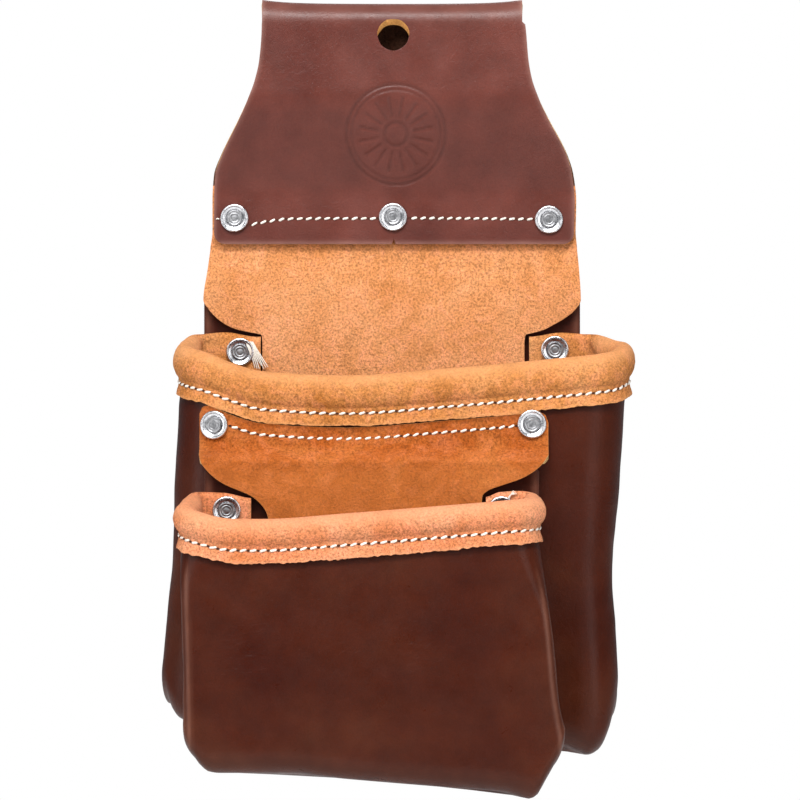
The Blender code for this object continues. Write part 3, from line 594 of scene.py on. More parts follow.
def thicken(name, mesh, thickness, materials, cutters=(), round_edge=0.00045, edge_slot=-1):
    """Leather of one thickness behind a grid: outer face, inner face and cut edges."""
    thing = add_object(name, mesh, materials)
    solidify = thing.modifiers.new("thickness", "SOLIDIFY")
    solidify.thickness = thickness
    solidify.offset = -1.0
    solidify.material_offset = 1
    solidify.material_offset_rim = 2
    for cutter in cutters:
        cut = thing.modifiers.new("cut", "BOOLEAN")
        cut.operation = "DIFFERENCE"
        cut.solver = "EXACT"
        cut.material_mode = "TRANSFER"
        cut.object = cutter
    bevel = thing.modifiers.new("edges", "BEVEL")
    bevel.width = round_edge
    bevel.segments = 2
    bevel.limit_method = "ANGLE"
    bevel.angle_limit = math.radians(58)
    bevel.use_clamp_overlap = True
    bevel.material = edge_slot
    applied(thing)
    for cutter in cutters:
        bpy.data.objects.remove(cutter)
    return smooth(thing)


def loft(name, sections, materials):
    """A closed skin through sections that all have the same number of points."""
    points = [p for section in sections for p in section]
    faces = tube_faces(0, len(sections), len(sections[0]))
    return add_object(name, closed_mesh(name, points, faces), materials)


def turned(name, profile, frame_matrix, material, steps=56):
    """A turned piece from a closed profile of (radius, height) points in millimetres."""
    points = []
    rings = []
    for radius, height in profile:
        if radius == 0:
            rings.append([len(points)] * steps)
            points.append(frame_matrix @ Vector((0, 0, height / 1000)))
            continue
        ring = []
        for k in range(steps):
            turn = 2 * math.pi * k / steps
            ring.append(len(points))
            points.append(frame_matrix @ Vector((radius * math.cos(turn) / 1000,
                                                 radius * math.sin(turn) / 1000, height / 1000)))
        rings.append(ring)
    faces = []
    for i in range(len(rings)):
        a, b = rings[i], rings[(i + 1) % len(rings)]
        for k in range(steps):
            j = (k + 1) % steps
            corners = []
            for corner in (a[k], a[j], b[j], b[k]):
                if corner not in corners:
                    corners.append(corner)
            if len(corners) > 2:
                faces.append(corners)
    return smooth(add_object(name, closed_mesh(name, points, faces), [material]), 35)


def aim(place, outward):
    """Stands a turned piece at a place, with its axis outward."""
    turn = Vector((0, 0, 1)).rotation_difference(outward).to_matrix().to_4x4()
    return Matrix.Translation(place) @ turn


def cutter_between(name, near, far, material):
    """A cutter between two rings of points."""
    work = bmesh.new()
    low = [work.verts.new(p) for p in near]
    high = [work.verts.new(p) for p in far]
    work.faces.new(low)
    work.faces.new(high)
    for i in range(len(low)):
        j = (i + 1) % len(low)
        work.faces.new((low[i], low[j], high[j], high[i]))
    bmesh.ops.recalc_face_normals(work, faces=work.faces)
    mesh = bpy.data.meshes.new(name)
    work.to_mesh(mesh)
    work.free()
    return add_object(name, mesh, [material])


def hole_cutter(place, lean, ring, material):
    """Cuts a round hole whose wall leans, so that its upper edge shows from the front."""
    reach = lean * HOLE_CUTTER_REACH
    near = [place + Vector((a, 0, b)) + reach for a, b in ring]
    far = [place + Vector((a, 0, b)) - reach for a, b in ring]
    return cutter_between("hanging_hole_cutter", near, far, material)


def triangle_cutter(name, x, z, corners, material):
    """Cuts a notch through the flap alone."""
    front = [Vector((x + a, FLAP_FACE - 0.004, z + b)) for a, b in corners]
    back = [Vector((x + a, FLAP_FACE + BELT_LEATHER + 0.0001, z + b)) for a, b in corners]
    return cutter_between(name, front, back, material)


# ---- Stitches -------------------------------------------------------------------------------------

THREAD_INK, HOLE_INK = 0, 1


def stitch(points, faces, inks, start, end, out, radius, lift):
    """One stitch: a short twisted thread that rises from one needle hole and dives at the next."""
    ahead = (end - start).normalized()
    side = out.cross(ahead).normalized()
    rings, sides = 11, 10
    base = len(points)
    phase = random.uniform(0, 6.28)
    for i in range(rings):
        u = i / (rings - 1)
        rise = math.sin(math.pi * u)
        middle = start.lerp(end, u) + out * (lift * rise ** 0.7 - radius * 0.6)
        thick = radius * (0.62 + 0.38 * rise ** 0.5)
        for k in range(sides):
            turn = 2 * math.pi * k / sides
            ply = 1 + 0.09 * math.cos(3 * turn + phase + 7.5 * u)
            points.append(middle + thick * ply * (math.cos(turn) * side
                                                  + 0.85 * math.sin(turn) * out))
    made = tube_faces(base, rings, sides)
    faces += made
    inks += [THREAD_INK] * len(made)


def shaded_needle_hole(points, faces, inks, place, ahead, out, size):
    """A small dimple in the leather, coloured dark as painted shade in the hole."""
    side = out.cross(ahead).normalized()
    sides = 12
    base = len(points)
    rings = ((1.0, -0.00012), (0.86, 0.00016), (0.42, 0.00002))
    for reach, height in rings:
        for k in range(sides):
            turn = 2 * math.pi * k / sides
            points.append(place + size * reach * (1.25 * math.cos(turn) * ahead
                                                  + 0.85 * math.sin(turn) * side) + out * height)
    made = tube_faces(base, len(rings), sides)
    faces += made
    inks += [HOLE_INK] * len(made)


def stitch_row(name, line, outs, pitch, material, hole, slant=0.00050, radius=0.00066,
               lift=0.00055, share=0.68):
    """A row of separate stitches along a line on the leather, with outward directions."""
    far = np.array(lengths(line))
    table = np.array([tuple(p) for p in line])
    faced = np.array([tuple(o) for o in outs])

    def spot(distance):
        place = Vector([np.interp(distance, far, table[:, k]) for k in range(3)])
        out = Vector([np.interp(distance, far, faced[:, k]) for k in range(3)]).normalized()
        return place, out

    count = max(1, round(far[-1] / pitch))
    pitch = far[-1] / count
    points, faces, inks = [], [], []
    for i in range(count):
        middle, out = spot((i + 0.5) * pitch)
        half = pitch * share / 2 * random.uniform(0.95, 1.04)
        before = spot((i + 0.5) * pitch - half)[0]
        after = spot((i + 0.5) * pitch + half)[0]
        ahead = (after - before).normalized()
        up = ahead.cross(out).normalized()
        up = up if up.z > 0 else -up
        tilt = slant * random.uniform(0.7, 1.3)
        stitch(points, faces, inks, before - up * tilt, after + up * tilt, out,
               radius * random.uniform(0.93, 1.07), lift)
    for i in range(count + 1):
        place, out = spot(i * pitch)
        near = spot(min(far[-1], i * pitch + 0.001))[0] - spot(max(0, i * pitch - 0.001))[0]
        shaded_needle_hole(points, faces, inks, place, near.normalized(), out, radius * 1.15)
    mesh = closed_mesh(name, points, faces)
    mesh.polygons.foreach_set("material_index", inks)
    return smooth(add_object(name, mesh, [material, hole]), 60)


def strands(name, paths, radius, material):
    """Loose thread ends, each along its own short path."""
    points, faces = [], []
    sides, rings = 7, 14
    last = rings - 1
    for path in paths:
        path = resample(path, rings)
        base = len(points)
        for i, place in enumerate(path):
            ahead = (path[min(i + 1, last)] - path[max(i - 1, 0)]).normalized()
            side = ahead.cross(Vector((0, 1, 0))).normalized()
            other = side.cross(ahead)
            thick = radius * (1.0 - 0.55 * (i / last) ** 3)
            for k in range(sides):
                turn = 2 * math.pi * k / sides
                points.append(place + thick * (math.cos(turn) * side + math.sin(turn) * other))
        faces += tube_faces(base, rings, sides)
    return smooth(add_object(name, closed_mesh(name, points, faces), [material]), 60)


# ---- Belt strap and back panel --------------------------------------------------------------------

def edges_at(outline, z):
    """Left and right edge of a piece at height z."""
    rising = sorted(outline)
    left = along([(row[0], row[1]) for row in rising], z)
    right = along([(row[0], row[2]) for row in rising], z)
    return left, right


def flap_depth(z):
    """How far in front of the rear face the flap's grain face stands at height z."""
    swell = 2 * FOLD_RADIUS + FLAP_FACE
    return FLAP_FACE - swell * ease((z - TUNNEL_FOOT) / (TUNNEL_FULL - TUNNEL_FOOT))


STAMP_CENTRE = (0.0017, -0.0168)
STAMP_RADIUS = 0.0270
STAMP_SPOKES = 16
STAMP_DEPTH = 0.00055
FRONT_OF_STRAP = -0.004


def stamped(x, z):
    """Depth, from 0 to 1, of the plain round tooling stamped on the flap: two rings and spokes."""
    across, up = x - STAMP_CENTRE[0], z - STAMP_CENTRE[1]
    reach = math.hypot(across, up)
    if reach > STAMP_RADIUS + 0.003:
        return 0.0
    turn = math.atan2(up, across)
    rings = hump(reach, STAMP_RADIUS, 0.0009) + 0.7 * hump(reach, STAMP_RADIUS - 0.0027, 0.0007)
    rings += 0.8 * hump(reach, 0.0062, 0.0008)
    between = ease((reach - 0.0085) / 0.002) * ease((STAMP_RADIUS - 0.0055 - reach) / 0.002)
    beat = math.sin(STAMP_SPOKES / 2 * turn) ** 2
    spokes = 0.75 * between * hump(1 - beat, 0.0, 0.16 * 0.014 / max(reach, 0.004))
    return min(1.0, rings + spokes)


def strap_columns():
    """Places across the strap from 0 to 1, closer together over the stamped tooling."""
    outer = list(np.linspace(0.0, 0.33, 34))[:-1]
    inner = list(np.linspace(0.33, 0.69, 96))[:-1]
    return outer + inner + list(np.linspace(0.69, 1.0, 32))


def strap_rows():
    """Points of the strap's grain face: up the back, over the fold and down the flap."""
    columns = strap_columns()
    fold_z = FOLD_TOP - FOLD_RADIUS
    levels = []
    neck = list(np.arange(PANEL_FOOT, -0.1325, 0.0060))
    ears = list(np.arange(-0.1308, -0.1000, 0.0008))
    back = list(np.arange(-0.0995, fold_z - 0.001, 0.0024))
    for z in neck + ears + back:
        left, right = edges_at(PANEL_OUTLINE, z)
        upper_left, upper_right = edges_at(STRAP_OUTLINE, z)
        extra = REAR_EXTRA_WIDTH * ease((0.030 - z) / 0.025)
        share = ease((z + 0.0800) / 0.010)
        left = mix(left, upper_left - extra, share)
        right = mix(right, upper_right + extra, share)
        levels.append((left, right, 0.0, z, 0.0))
    left, right = edges_at(STRAP_OUTLINE, 0.0537)
    for i in range(31):
        turn = math.pi * i / 30
        y = -FOLD_RADIUS + FOLD_RADIUS * math.cos(turn)
        z = fold_z + FOLD_RADIUS * math.sin(turn)
        levels.append((left, right, y, z, math.sin(turn)))
    corner_top = FLAP_BOTTOM + FLAP_CORNER
    flap = list(np.arange(fold_z - 0.0014, 0.0135, -0.0016))
    flap += list(np.arange(0.0130, -0.0470, -0.00078))
    flap += list(np.arange(-0.0480, corner_top, -0.0016))
    for z in flap:
        left, right = edges_at(STRAP_OUTLINE, z)
        levels.append((left, right, flap_depth(z), z, 0.0))
    left, right = edges_at(STRAP_OUTLINE, corner_top)
    for i in range(0, 11):
        turn = math.pi / 2 * i / 10
        z = corner_top - FLAP_CORNER * math.sin(turn)
        inset = FLAP_CORNER * (1 - math.cos(turn))
        levels.append((left + inset, right - inset, FLAP_FACE, z, 0.0))
    rows = []
    for left, right, y, z, crown in levels:
        row = []
        for share in columns:
            x = mix(left, right, share)
            reach = abs(2 * share - 1)
            lift = 0.0016 * crown * reach ** 6 + 0.0006 * crown * reach ** 2 - 0.0005 * crown
            front = y < FRONT_OF_STRAP
            wave = 0.0005 * lump((x, 0.0, z), 0.070, 1) + 0.00018 * lump((x, 0.0, z), 0.022, 2)
            calm = ease((z + 0.050) / 0.02) if front else ease((-0.078 - z) / 0.02) * 0.8
            if front and z < -0.045:
                wave = 0.0
            sunk = (0.0006 + wave) * calm
            if front:
                sunk -= STAMP_DEPTH * stamped(x, z)
            row.append(Vector((x, y - sunk, z + lift)))
        rows.append(row)
    return [list(reversed(row)) for row in rows]


def strap_wear_and_highlight(p):
    """Painted highlight and rubbed wear: paler leather over the fold, along the flap's edges and
    along its foot.
    """
    fold = ease((p.z - 0.040) / 0.014) * ease(-p.y / 0.010)
    left, right = edges_at(STRAP_OUTLINE, p.z)
    side = min(abs(p.x - left), abs(p.x - right))
    rim = hump(side, 0.0, 0.0014) * (p.y < FRONT_OF_STRAP)
    foot = hump(p.z, FLAP_BOTTOM, 0.0016) * (p.y < FRONT_OF_STRAP)
    return min(0.75, 0.16 * fold + 0.35 * rim + 0.35 * foot)


def strap_shade(p):
    """Darker in the stamped tooling, under the flap, behind the ears and inside the pouch."""
    if p.y < FRONT_OF_STRAP:
        return 0.22 * stamped(p.x, p.z)
    if p.z > -0.05:
        return 0.0
    under_flap = 0.15 * ease((p.z + 0.0905) / 0.012)
    in_pouch = 0.45 * ease((-0.146 - p.z) / 0.05)
    ears = 0.12 * ease((-0.088 - p.z) / 0.03) * ease((abs(p.x) - 0.055) / 0.045)
    return min(0.8, under_flap + in_pouch + ears)


def make_strap():
    """Belt strap and back panel: one leather, grain side out, with suede on its lower front."""
    rows = strap_rows()
    mesh = grid_mesh(rows, wear_and_highlight=strap_wear_and_highlight, shade=strap_shade)
    lean = Vector((0, -math.cos(HANGING_HOLE_LEAN), math.sin(HANGING_HOLE_LEAN)))
    ring = []
    for k in range(HANGING_HOLE_STEPS):
        turn = 2 * math.pi * k / HANGING_HOLE_STEPS
        radius = HANGING_HOLE_RADIUS * (1 + 0.012 * math.sin(3 * turn) + 0.008 * math.sin(7 * turn))
        ring.append((radius * math.cos(turn), radius * math.sin(turn)))
    place = Vector((0.0002, -2 * FOLD_RADIUS, HANGING_HOLE_Z))
    hole = hole_cutter(place, lean, ring, HOLE_EDGE)
    corners = ((-0.0024, -0.004), (0.0024, -0.004), (0.0, 0.0028))
    notch = triangle_cutter("notch_cutter", 0.0004, FLAP_BOTTOM, corners, TAN_EDGE)
    strap = thicken("strap_and_back_panel", mesh, BELT_LEATHER,
                    [OXBLOOD, SHADED_FLESH, TAN_EDGE, TAN, HOLE_EDGE], [hole, notch], 0.0009, 2)
    slots = [m.name for m in strap.data.materials]
    tan = slots.index(TAN.name)
    for face in strap.data.polygons:
        if face.material_index == 1 and face.center.z < -0.045 and face.center.y > -0.0050:
            face.material_index = tan
    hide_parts("belt_loop", "back_panel")
    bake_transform(strap)
    return strap


# ---- Pouch bodies ---------------------------------------------------------------------------------

def rounded_corner(before, corner, after, radius, steps):
    """Points on the arc that rounds a corner of a plan."""
    a = (before - corner).normalized()
    b = (after - corner).normalized()
    half_angle = math.acos(max(-1.0, min(1.0, a.dot(b)))) / 2
    reach = radius / math.tan(half_angle)
    centre = corner + (a + b).normalized() * radius / math.sin(half_angle)
    start = corner + a * reach - centre
    turn = start.angle_signed(corner + b * reach - centre)
    points = []
    for k in range(steps + 1):
        angle = -turn * k / steps
        c, s = math.cos(angle), math.sin(angle)
        points.append(centre + Vector((c * start.x - s * start.y, s * start.x + c * start.y)))
    return points


def straight(a, b, steps):
    """Points strictly between a and b."""
    return [a.lerp(b, k / steps) for k in range(1, steps)]


def front_corner(pouch, side, widest, radius):
    """The sharp front corner that makes the rounded plan `widest` across at that side."""
    back = abs(pouch.back_corners[side])
    deep = abs(pouch.front_y - pouch.back_y)
    run = deep - radius
    spare = back - (abs(widest) - radius)
    flare = radius * math.sqrt(spare ** 2 + run ** 2 - radius ** 2) - spare * run
    flare /= run ** 2 - radius ** 2
    out = back + deep * flare
    return Vector((out if side else -out, pouch.front_y))


def plan(pouch, left, right, radii, steps):
    """Middle line of the wall in plan, from the window's right edge round to its left edge.

    steps counts the pieces of (back flats, back arcs, sides, front arcs, front).
    """
    flats, back_arc, side, front_arc, front = steps
    back_left = Vector((pouch.back_corners[0], pouch.back_y))
    back_right = Vector((pouch.back_corners[1], pouch.back_y))
    front_left = front_corner(pouch, 0, left, radii[0])
    front_right = front_corner(pouch, 1, right, radii[1])
    arcs = [
        rounded_corner(back_left, back_right, front_right, pouch.back_radius, back_arc),
        rounded_corner(back_right, front_right, front_left, radii[1], front_arc),
        rounded_corner(front_right, front_left, back_left, radii[0], front_arc),
        rounded_corner(front_left, back_left, back_right, pouch.back_radius, back_arc),
    ]
    line = list(arcs[0])
    for arc, count in zip(arcs[1:], (side, front, side)):
        line += straight(line[-1], arc[0], count)
        line += arc
    first = Vector((pouch.window[1] + GAP, pouch.back_y))
    last = Vector((pouch.window[0] - GAP, pouch.back_y))
    line = [first] + straight(first, line[0], flats) + line
    return line + straight(line[-1], last, flats) + [last]


def rim_plan(pouch, steps):
    return plan(pouch, pouch.widest_at_rim[0], pouch.widest_at_rim[1], pouch.rim_radii, steps)


def outward_normals(line, closed):
    """Unit vectors pointing out of the pouch, square to its plan line."""
    normals = []
    count = len(line)
    for i in range(count):
        before = line[(i - 1) % count] if closed else line[max(i - 1, 0)]
        after = line[(i + 1) % count] if closed else line[min(i + 1, count - 1)]
        ahead = (after - before).normalized()
        normals.append(Vector((-ahead.y, ahead.x)))
    return normals


def forwardness(pouch, y):
    """0 on the back of the pouch and 1 on its front."""
    return min(1.0, max(0.0, (y - pouch.back_y) / (pouch.front_y - pouch.back_y)))


def roll_top(pouch, x, y):
    """Height of the top of the rolled rim: high at the back and dipping across the front."""
    front = along(pouch.rim_front, x)
    return mix(along(pouch.rim_back, x), front, ease(forwardness(pouch, y)))


def fullness(pouch, y):
    """How padded the rim is: flat against the back and full from the middle of the sides."""
    return ease(forwardness(pouch, y) / FULL_FROM)


def wall_top(pouch, x, y):
    """Height of the shell's top edge, hidden inside the rim binding."""
    drop = mix(FLAT_CAP + 0.0008, pouch.roll_height - 0.0025, fullness(pouch, y))
    return roll_top(pouch, x, y) - drop


def floor_at(pouch, x, y):
    """Lowest height of the pouch at a place in its plan; its front corners are drawn up."""
    plain = pouch.floor_mid - pouch.floor_slope * x + 0.004 * ease((abs(x) - 0.085) / 0.02)
    side = x > 0
    widest = (pouch.left_side, pouch.right_side)[side][0][1]
    far = forwardness(pouch, y)
    level = x * widest / mix(pouch.back_corners[side], widest, far)
    return mix(plain, along(pouch.floor_line, level), ease(far / 0.90))


FLOOR_STEPS = 8


def make_shell(pouch, steps, down):
    """Front, sides, floor and folded-in back edges of a pouch: one leather that sags and bulges."""
    half = BAG_LEATHER / 2
    radius = pouch.floor_radius
    top_line = rim_plan(pouch, steps)
    rows = []
    hidden = pouch.binding_height - pouch.roll_height + 0.0025
    for r in range(down + 1):
        t = r / down
        left_z = mix(along(pouch.rim_front, -0.11) - pouch.roll_height,
                     along(pouch.floor_line, pouch.left_side[0][1]) + radius, t)
        right_z = mix(along(pouch.rim_front, 0.11) - pouch.roll_height,
                      along(pouch.floor_line, pouch.right_side[0][1]) + radius, t)
        left = along(pouch.left_side, left_z)
        right = along(pouch.right_side, right_z)
        left = mix(pouch.widest_at_rim[0], left, ease(t / 0.10))
        right = mix(pouch.widest_at_rim[1], right, ease(t / 0.10))
        middle_z = mix(left_z, right_z, 0.5)
        tighten = ease((pouch.crease[0] - middle_z) / (pouch.crease[0] - pouch.crease[1]))
        radii = [mix(a, b, tighten) for a, b in zip(pouch.rim_radii, pouch.low_radii)]
        line = plan(pouch, left, right, radii, steps)
        row = []
        for p, n, q in zip(line, outward_normals(line, closed=True), top_line):
            top = wall_top(pouch, q.x, q.y)
            low = floor_at(pouch, p.x, p.y) + radius
            z = mix(top, low, t)
            away = p + n * half
            front = ease((forwardness(pouch, p.y) - 0.25) / 0.5)
            free = ease((top - hidden - z) / 0.030)
            swell = swelling(pouch, p.x, z, front) * free
            away = away + n * swell
            row.append(Vector((away.x, away.y, z)))
        rows.append(row)
    middle = Vector((sum(pouch.wall_edges) / 2, mix(pouch.back_y, pouch.front_y, 0.40)))
    deep = abs(pouch.front_y - middle.y)
    last = rows[-1]
    for k in range(1, FLOOR_STEPS + 1):
        turn = math.pi / 2 * k / FLOOR_STEPS
        shrink = radius * (1 - math.cos(turn))
        row = []
        for p in last:
            x = mix(p.x, middle.x, shrink / 0.10 * 0.22)
            y = mix(p.y, middle.y, shrink / deep)
            row.append(Vector((x, y, p.z - radius * math.sin(turn))))
        rows.append(row)
    ring = rows[-1]
    for share in (0.30, 0.60, 0.86, 0.97):
        row = []
        for p in ring:
            x = mix(p.x, middle.x, share * share)
            above = p.z - (pouch.floor_mid - pouch.floor_slope * p.x)
            plain = pouch.floor_mid - pouch.floor_slope * x
            row.append(Vector((x, mix(p.y, middle.y, share), plain + above * (1 - share))))
        rows.append(row)

    def kept(a, b, c, d):
        x = (a.x + b.x) / 2
        y = (a.y + b.y) / 2
        z = (a.z + c.z) / 2
        inside = pouch.window[0] < x < pouch.window[1] and y > pouch.back_y - 0.004
        return not (inside and z > pouch.foot)

    def wear_and_highlight(p):
        f = forwardness(pouch, p.y)
        left = along(pouch.left_side, p.z)
        right = along(pouch.right_side, p.z)
        side = min(abs(p.x - left), abs(p.x - right))
        # ridge: painted highlight along the front corner crease, with some burnished wear; low: a
        # slightly paler band along the bottom edge.
        ridge = hump(side, 0.0016, 0.0012) * ease((f - 0.93) / 0.05)
        ridge *= ease((pouch.crease[0] - p.z) / 0.02)
        low = 0.12 * hump(p.z, floor_at(pouch, p.x, p.y) + 0.004, 0.007) * ease((f - 0.5) / 0.3)
        if pouch.name == "main":
            ridge *= 0.15
        return min(0.8, 0.42 * ridge + low)

    def shade(p):
        f = forwardness(pouch, p.y)
        top = roll_top(pouch, p.x, p.y) - pouch.binding_height
        return 0.45 * hump(p.z, top + 0.001, 0.0035) * f

    mesh = grid_mesh(rows, closed=True, keep=kept, floor=True, wear_and_highlight=wear_and_highlight, shade=shade)
    shell = thicken(pouch.name + "_pouch_body", mesh, BAG_LEATHER, [CHESTNUT, SHADED_FLESH, DARK_EDGE])
    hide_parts(pouch.name + "_pouch_shell")
    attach(shell, pouch.body)
    return shell


def swelling(pouch, x, z, front):
    """How far the leather stands out from its plain plan: soft dents and a fuller belly."""
    seed = 3 if pouch.name == "main" else 5
    dents = 0.0011 * lump((x, 0.0, z), 0.075, seed) + 0.00045 * lump((x, 0.0, z), 0.028, seed + 1)
    dents += 0.00012 * lump((x, 0.0, z), 0.009, seed + 2)
    if pouch.name == "outer":
        belly = 0.0022 * hump(z, -0.315, 0.045) * hump(x, -0.010, 0.070)
        hollow = -0.0016 * hump(x, 0.060, 0.020) * hump(z, -0.275, 0.035)
        return (dents + belly + hollow) * mix(0.35, 1.0, front)
    fold = -0.0020 * hump(x, 0.085, 0.014) * hump(z, -0.300, 0.060) * front
    flank = 0.0018 * hump(x, 0.108, 0.012) * hump(z, -0.315, 0.040) * front
    return dents * mix(0.5, 1.0, front) + fold + flank


def rear_face(pouch):
    """Depth of the rear wall's back."""
    return pouch.back_y + BAG_LEATHER / 2 + REAR_WALL_SPACE + BAG_LEATHER


def corner_inset(edge, radius):
    """How far an outline is inset by a rounded corner, `edge` away from the side."""
    return radius * (1 - math.sqrt(max(0.0, 1 - (1 - min(1.0, edge / radius)) ** 2)))


def make_rear_wall(pouch):
    """Plate of leather behind a pouch, with softly rounded edges."""
    face = rear_face(pouch)
    left, right = pouch.wall_edges
    steps = 110
    rows = []
    for r in range(steps + 1):
        row = []
        for k in range(steps + 1):
            x = mix(right, left, k / steps)
            edge = min(x - left, right - x)
            tuck = corner_inset(edge, WALL_CORNER)
            top = pouch.wall_top - tuck * 0.4
            low = pouch.floor_mid - pouch.floor_slope * x + tuck
            z = mix(low, top, r / steps)
            bow = 0.0012 * hump(edge, 0.0, 0.007)
            row.append(Vector((x, face - bow - 0.0003 * abs(lump((x, 0, z), 0.05, 8)), z)))
        rows.append(row)

    def wear_and_highlight(p):
        # Painted highlight along the rounded side edges.
        edge = min(p.x - left, right - p.x)
        return 0.42 * hump(edge, 0.0022, 0.0016)

    mesh = grid_mesh(rows, wear_and_highlight=wear_and_highlight)
    wall = thicken(pouch.name + "_back_wall", mesh, BAG_LEATHER, [CHESTNUT, CHESTNUT, DARK_EDGE],
                   round_edge=0.0009)
    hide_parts(pouch.name + "_rear_wall")
    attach(wall, pouch.body)
    return wall


# ---- Rolled suede rims ----------------------------------------------------------------------------

HALF_RIM = 42


def half_profile(near, bulge, top, tall, flange):
    """One side of the binding in section: up the flange, then round the padded roll to its top."""
    wide = near + bulge
    start = -math.acos(min(1.0, near / wide))
    points = []
    low_roll = -top - tall + tall * math.sin(start)
    up, over = 24, 32
    for k in range(up):
        points.append(Vector((near, mix(-flange, low_roll, k / up))))
    for k in range(over + 1):
        turn = mix(start, math.pi / 2, k / over)
        points.append(Vector((wide * math.cos(turn), -top - tall + tall * math.sin(turn))))
    return points


def rim_profile(pouch, y, near, top, thick):
    """The whole arch of the binding in section, from the outer raw edge over to the inner one."""
    full = fullness(pouch, y)
    bulge = 0.00005 + ROLL_BULGE * full
    tall = mix(FLAT_CAP, pouch.roll_height / 2, full) - top
    one = half_profile(near + thick, bulge, top, tall, pouch.binding_height)
    other = [Vector((-p.x, p.y)) for p in reversed(one[:-1])]
    return resample(one + other, 2 * HALF_RIM)


def make_binding(pouch, material, steps):
    """Suede strip rolled over a core and sewn down on both faces of the shell."""
    line = rim_plan(pouch, steps)
    normals = outward_normals(line, closed=False)
    near = BAG_LEATHER / 2 + BINDING_SPACE
    sewn = -(pouch.roll_height + STITCH_UNDER_ROLL)
    seed = 11 if pouch.name == "main" else 13
    rough = 1.0 if pouch.name == "main" else 1.5
    sections = []
    far = lengths([Vector((p.x, p.y, roll_top(pouch, p.x, p.y))) for p in line])
    for p, n, s in zip(line, normals, far):
        full = fullness(pouch, p.y)
        top = roll_top(pouch, p.x, p.y)
        outer = rim_profile(pouch, p.y, near, 0.0, SUEDE)
        inner = rim_profile(pouch, p.y, near, SUEDE, 0.0)
        pinch = 0.00042 * full * (0.75 + 0.25 * math.cos(2 * math.pi * s / RIM_PITCH))
        raised = []
        for k, q in enumerate(outer):
            outside = k < HALF_RIM
            place = (p.x + n.x * q.x, p.y + n.y * q.x, top + q.y)
            side = 1 if q.x > 0 else -1
            sink = pinch * hump(q.y, sewn, 0.0013)
            under = ease((sewn - q.y - 0.001) / 0.006)
            flare = under * 0.0006 * (0.55 + 0.6 * lump((s, seed, 0), 0.018, seed)) * full
            flare += under * 0.0009 * abs(n.x) * full
            nap = 0.00020 * lump(place, 0.0030, seed) + 0.00022 * lump(place, 0.009, seed + 1)
            soft = 0.00045 * lump(place, 0.030, seed + 2) * full * (q.y > sewn)
            a = q.x + side * (flare - sink + (nap + soft) * mix(0.35, 1.0, full))
            edge = ease((-q.y - pouch.binding_height + 0.0016) / 0.0016)
            ragged = 0.00050 * lump((s, 0, side), 0.0022, seed + 3)
            ragged += 0.0007 * lump((s, 0, side), 0.014, seed + 4)
            b = q.y + edge * ragged * rough
            if not outside:
                a = min(a, -near - 0.0004) if full < 0.3 else a
            raised.append((a, b))
        lower = [(q.x, q.y) for q in reversed(inner)]
        lower[-1] = (lower[-1][0], raised[0][1])
        lower[0] = (lower[0][0], raised[-1][1])
        loop = raised + lower
        sections.append([Vector((p.x + n.x * a, p.y + n.y * a, top + b)) for a, b in loop])
    rim = loft(pouch.name + "_rolled_rim", sections, [material])
    values_wear_and_highlight, values_shade = [], []
    for p, section in zip(line, sections):
        full = fullness(pouch, p.y)
        top = roll_top(pouch, p.x, p.y)
        for v in section:
            b = v.z - top
            # crown: painted highlight on the top of the roll; raw: paler raw edge; seam: painted
            # shade at the stitch line.
            crown = hump(b, -0.002, 0.0045) * full * 0.55
            raw = hump(b, -pouch.binding_height, 0.0010) * 0.5
            seam = hump(b, sewn, 0.0009) * 0.30 * full
            values_wear_and_highlight.append(min(0.8, crown + raw))
            values_shade.append(min(0.8, seam))
    paint(rim.data, "wear_and_highlight", values_wear_and_highlight)
    paint(rim.data, "shade", values_shade)
    bevel = rim.modifiers.new("edges", "BEVEL")
    bevel.width = 0.00035
    bevel.segments = 2
    bevel.limit_method = "ANGLE"
    bevel.angle_limit = math.radians(60)
    applied(rim)
    smooth(rim, 70)
    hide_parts(pouch.name + "_rim_binding")
    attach(rim, pouch.body)
    return rim


def make_rim_stitches(pouch, steps):
    """The visible row of stitches under the roll, outside and round both sides."""
    line = rim_plan(pouch, steps)
    reach = BAG_LEATHER / 2 + BINDING_SPACE + SUEDE - 0.00010
    points, outs = [], []
    for p, n in zip(line, outward_normals(line, closed=False)):
        if fullness(pouch, p.y) > 0.4:
            z = roll_top(pouch, p.x, p.y) - pouch.roll_height - STITCH_UNDER_ROLL
            points.append(Vector((p.x + n.x * reach, p.y + n.y * reach, z)))
            outs.append(Vector((n.x, n.y, 0.0)))
    points.reverse()
    outs.reverse()
    row = stitch_row(pouch.name + "_rim_stitches", points, outs, RIM_PITCH, WHITE_THREAD,
                     SHADED_NEEDLE_HOLE)
    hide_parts(pouch.name + "_rim_stitching")
    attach(row, pouch.body)
    return row


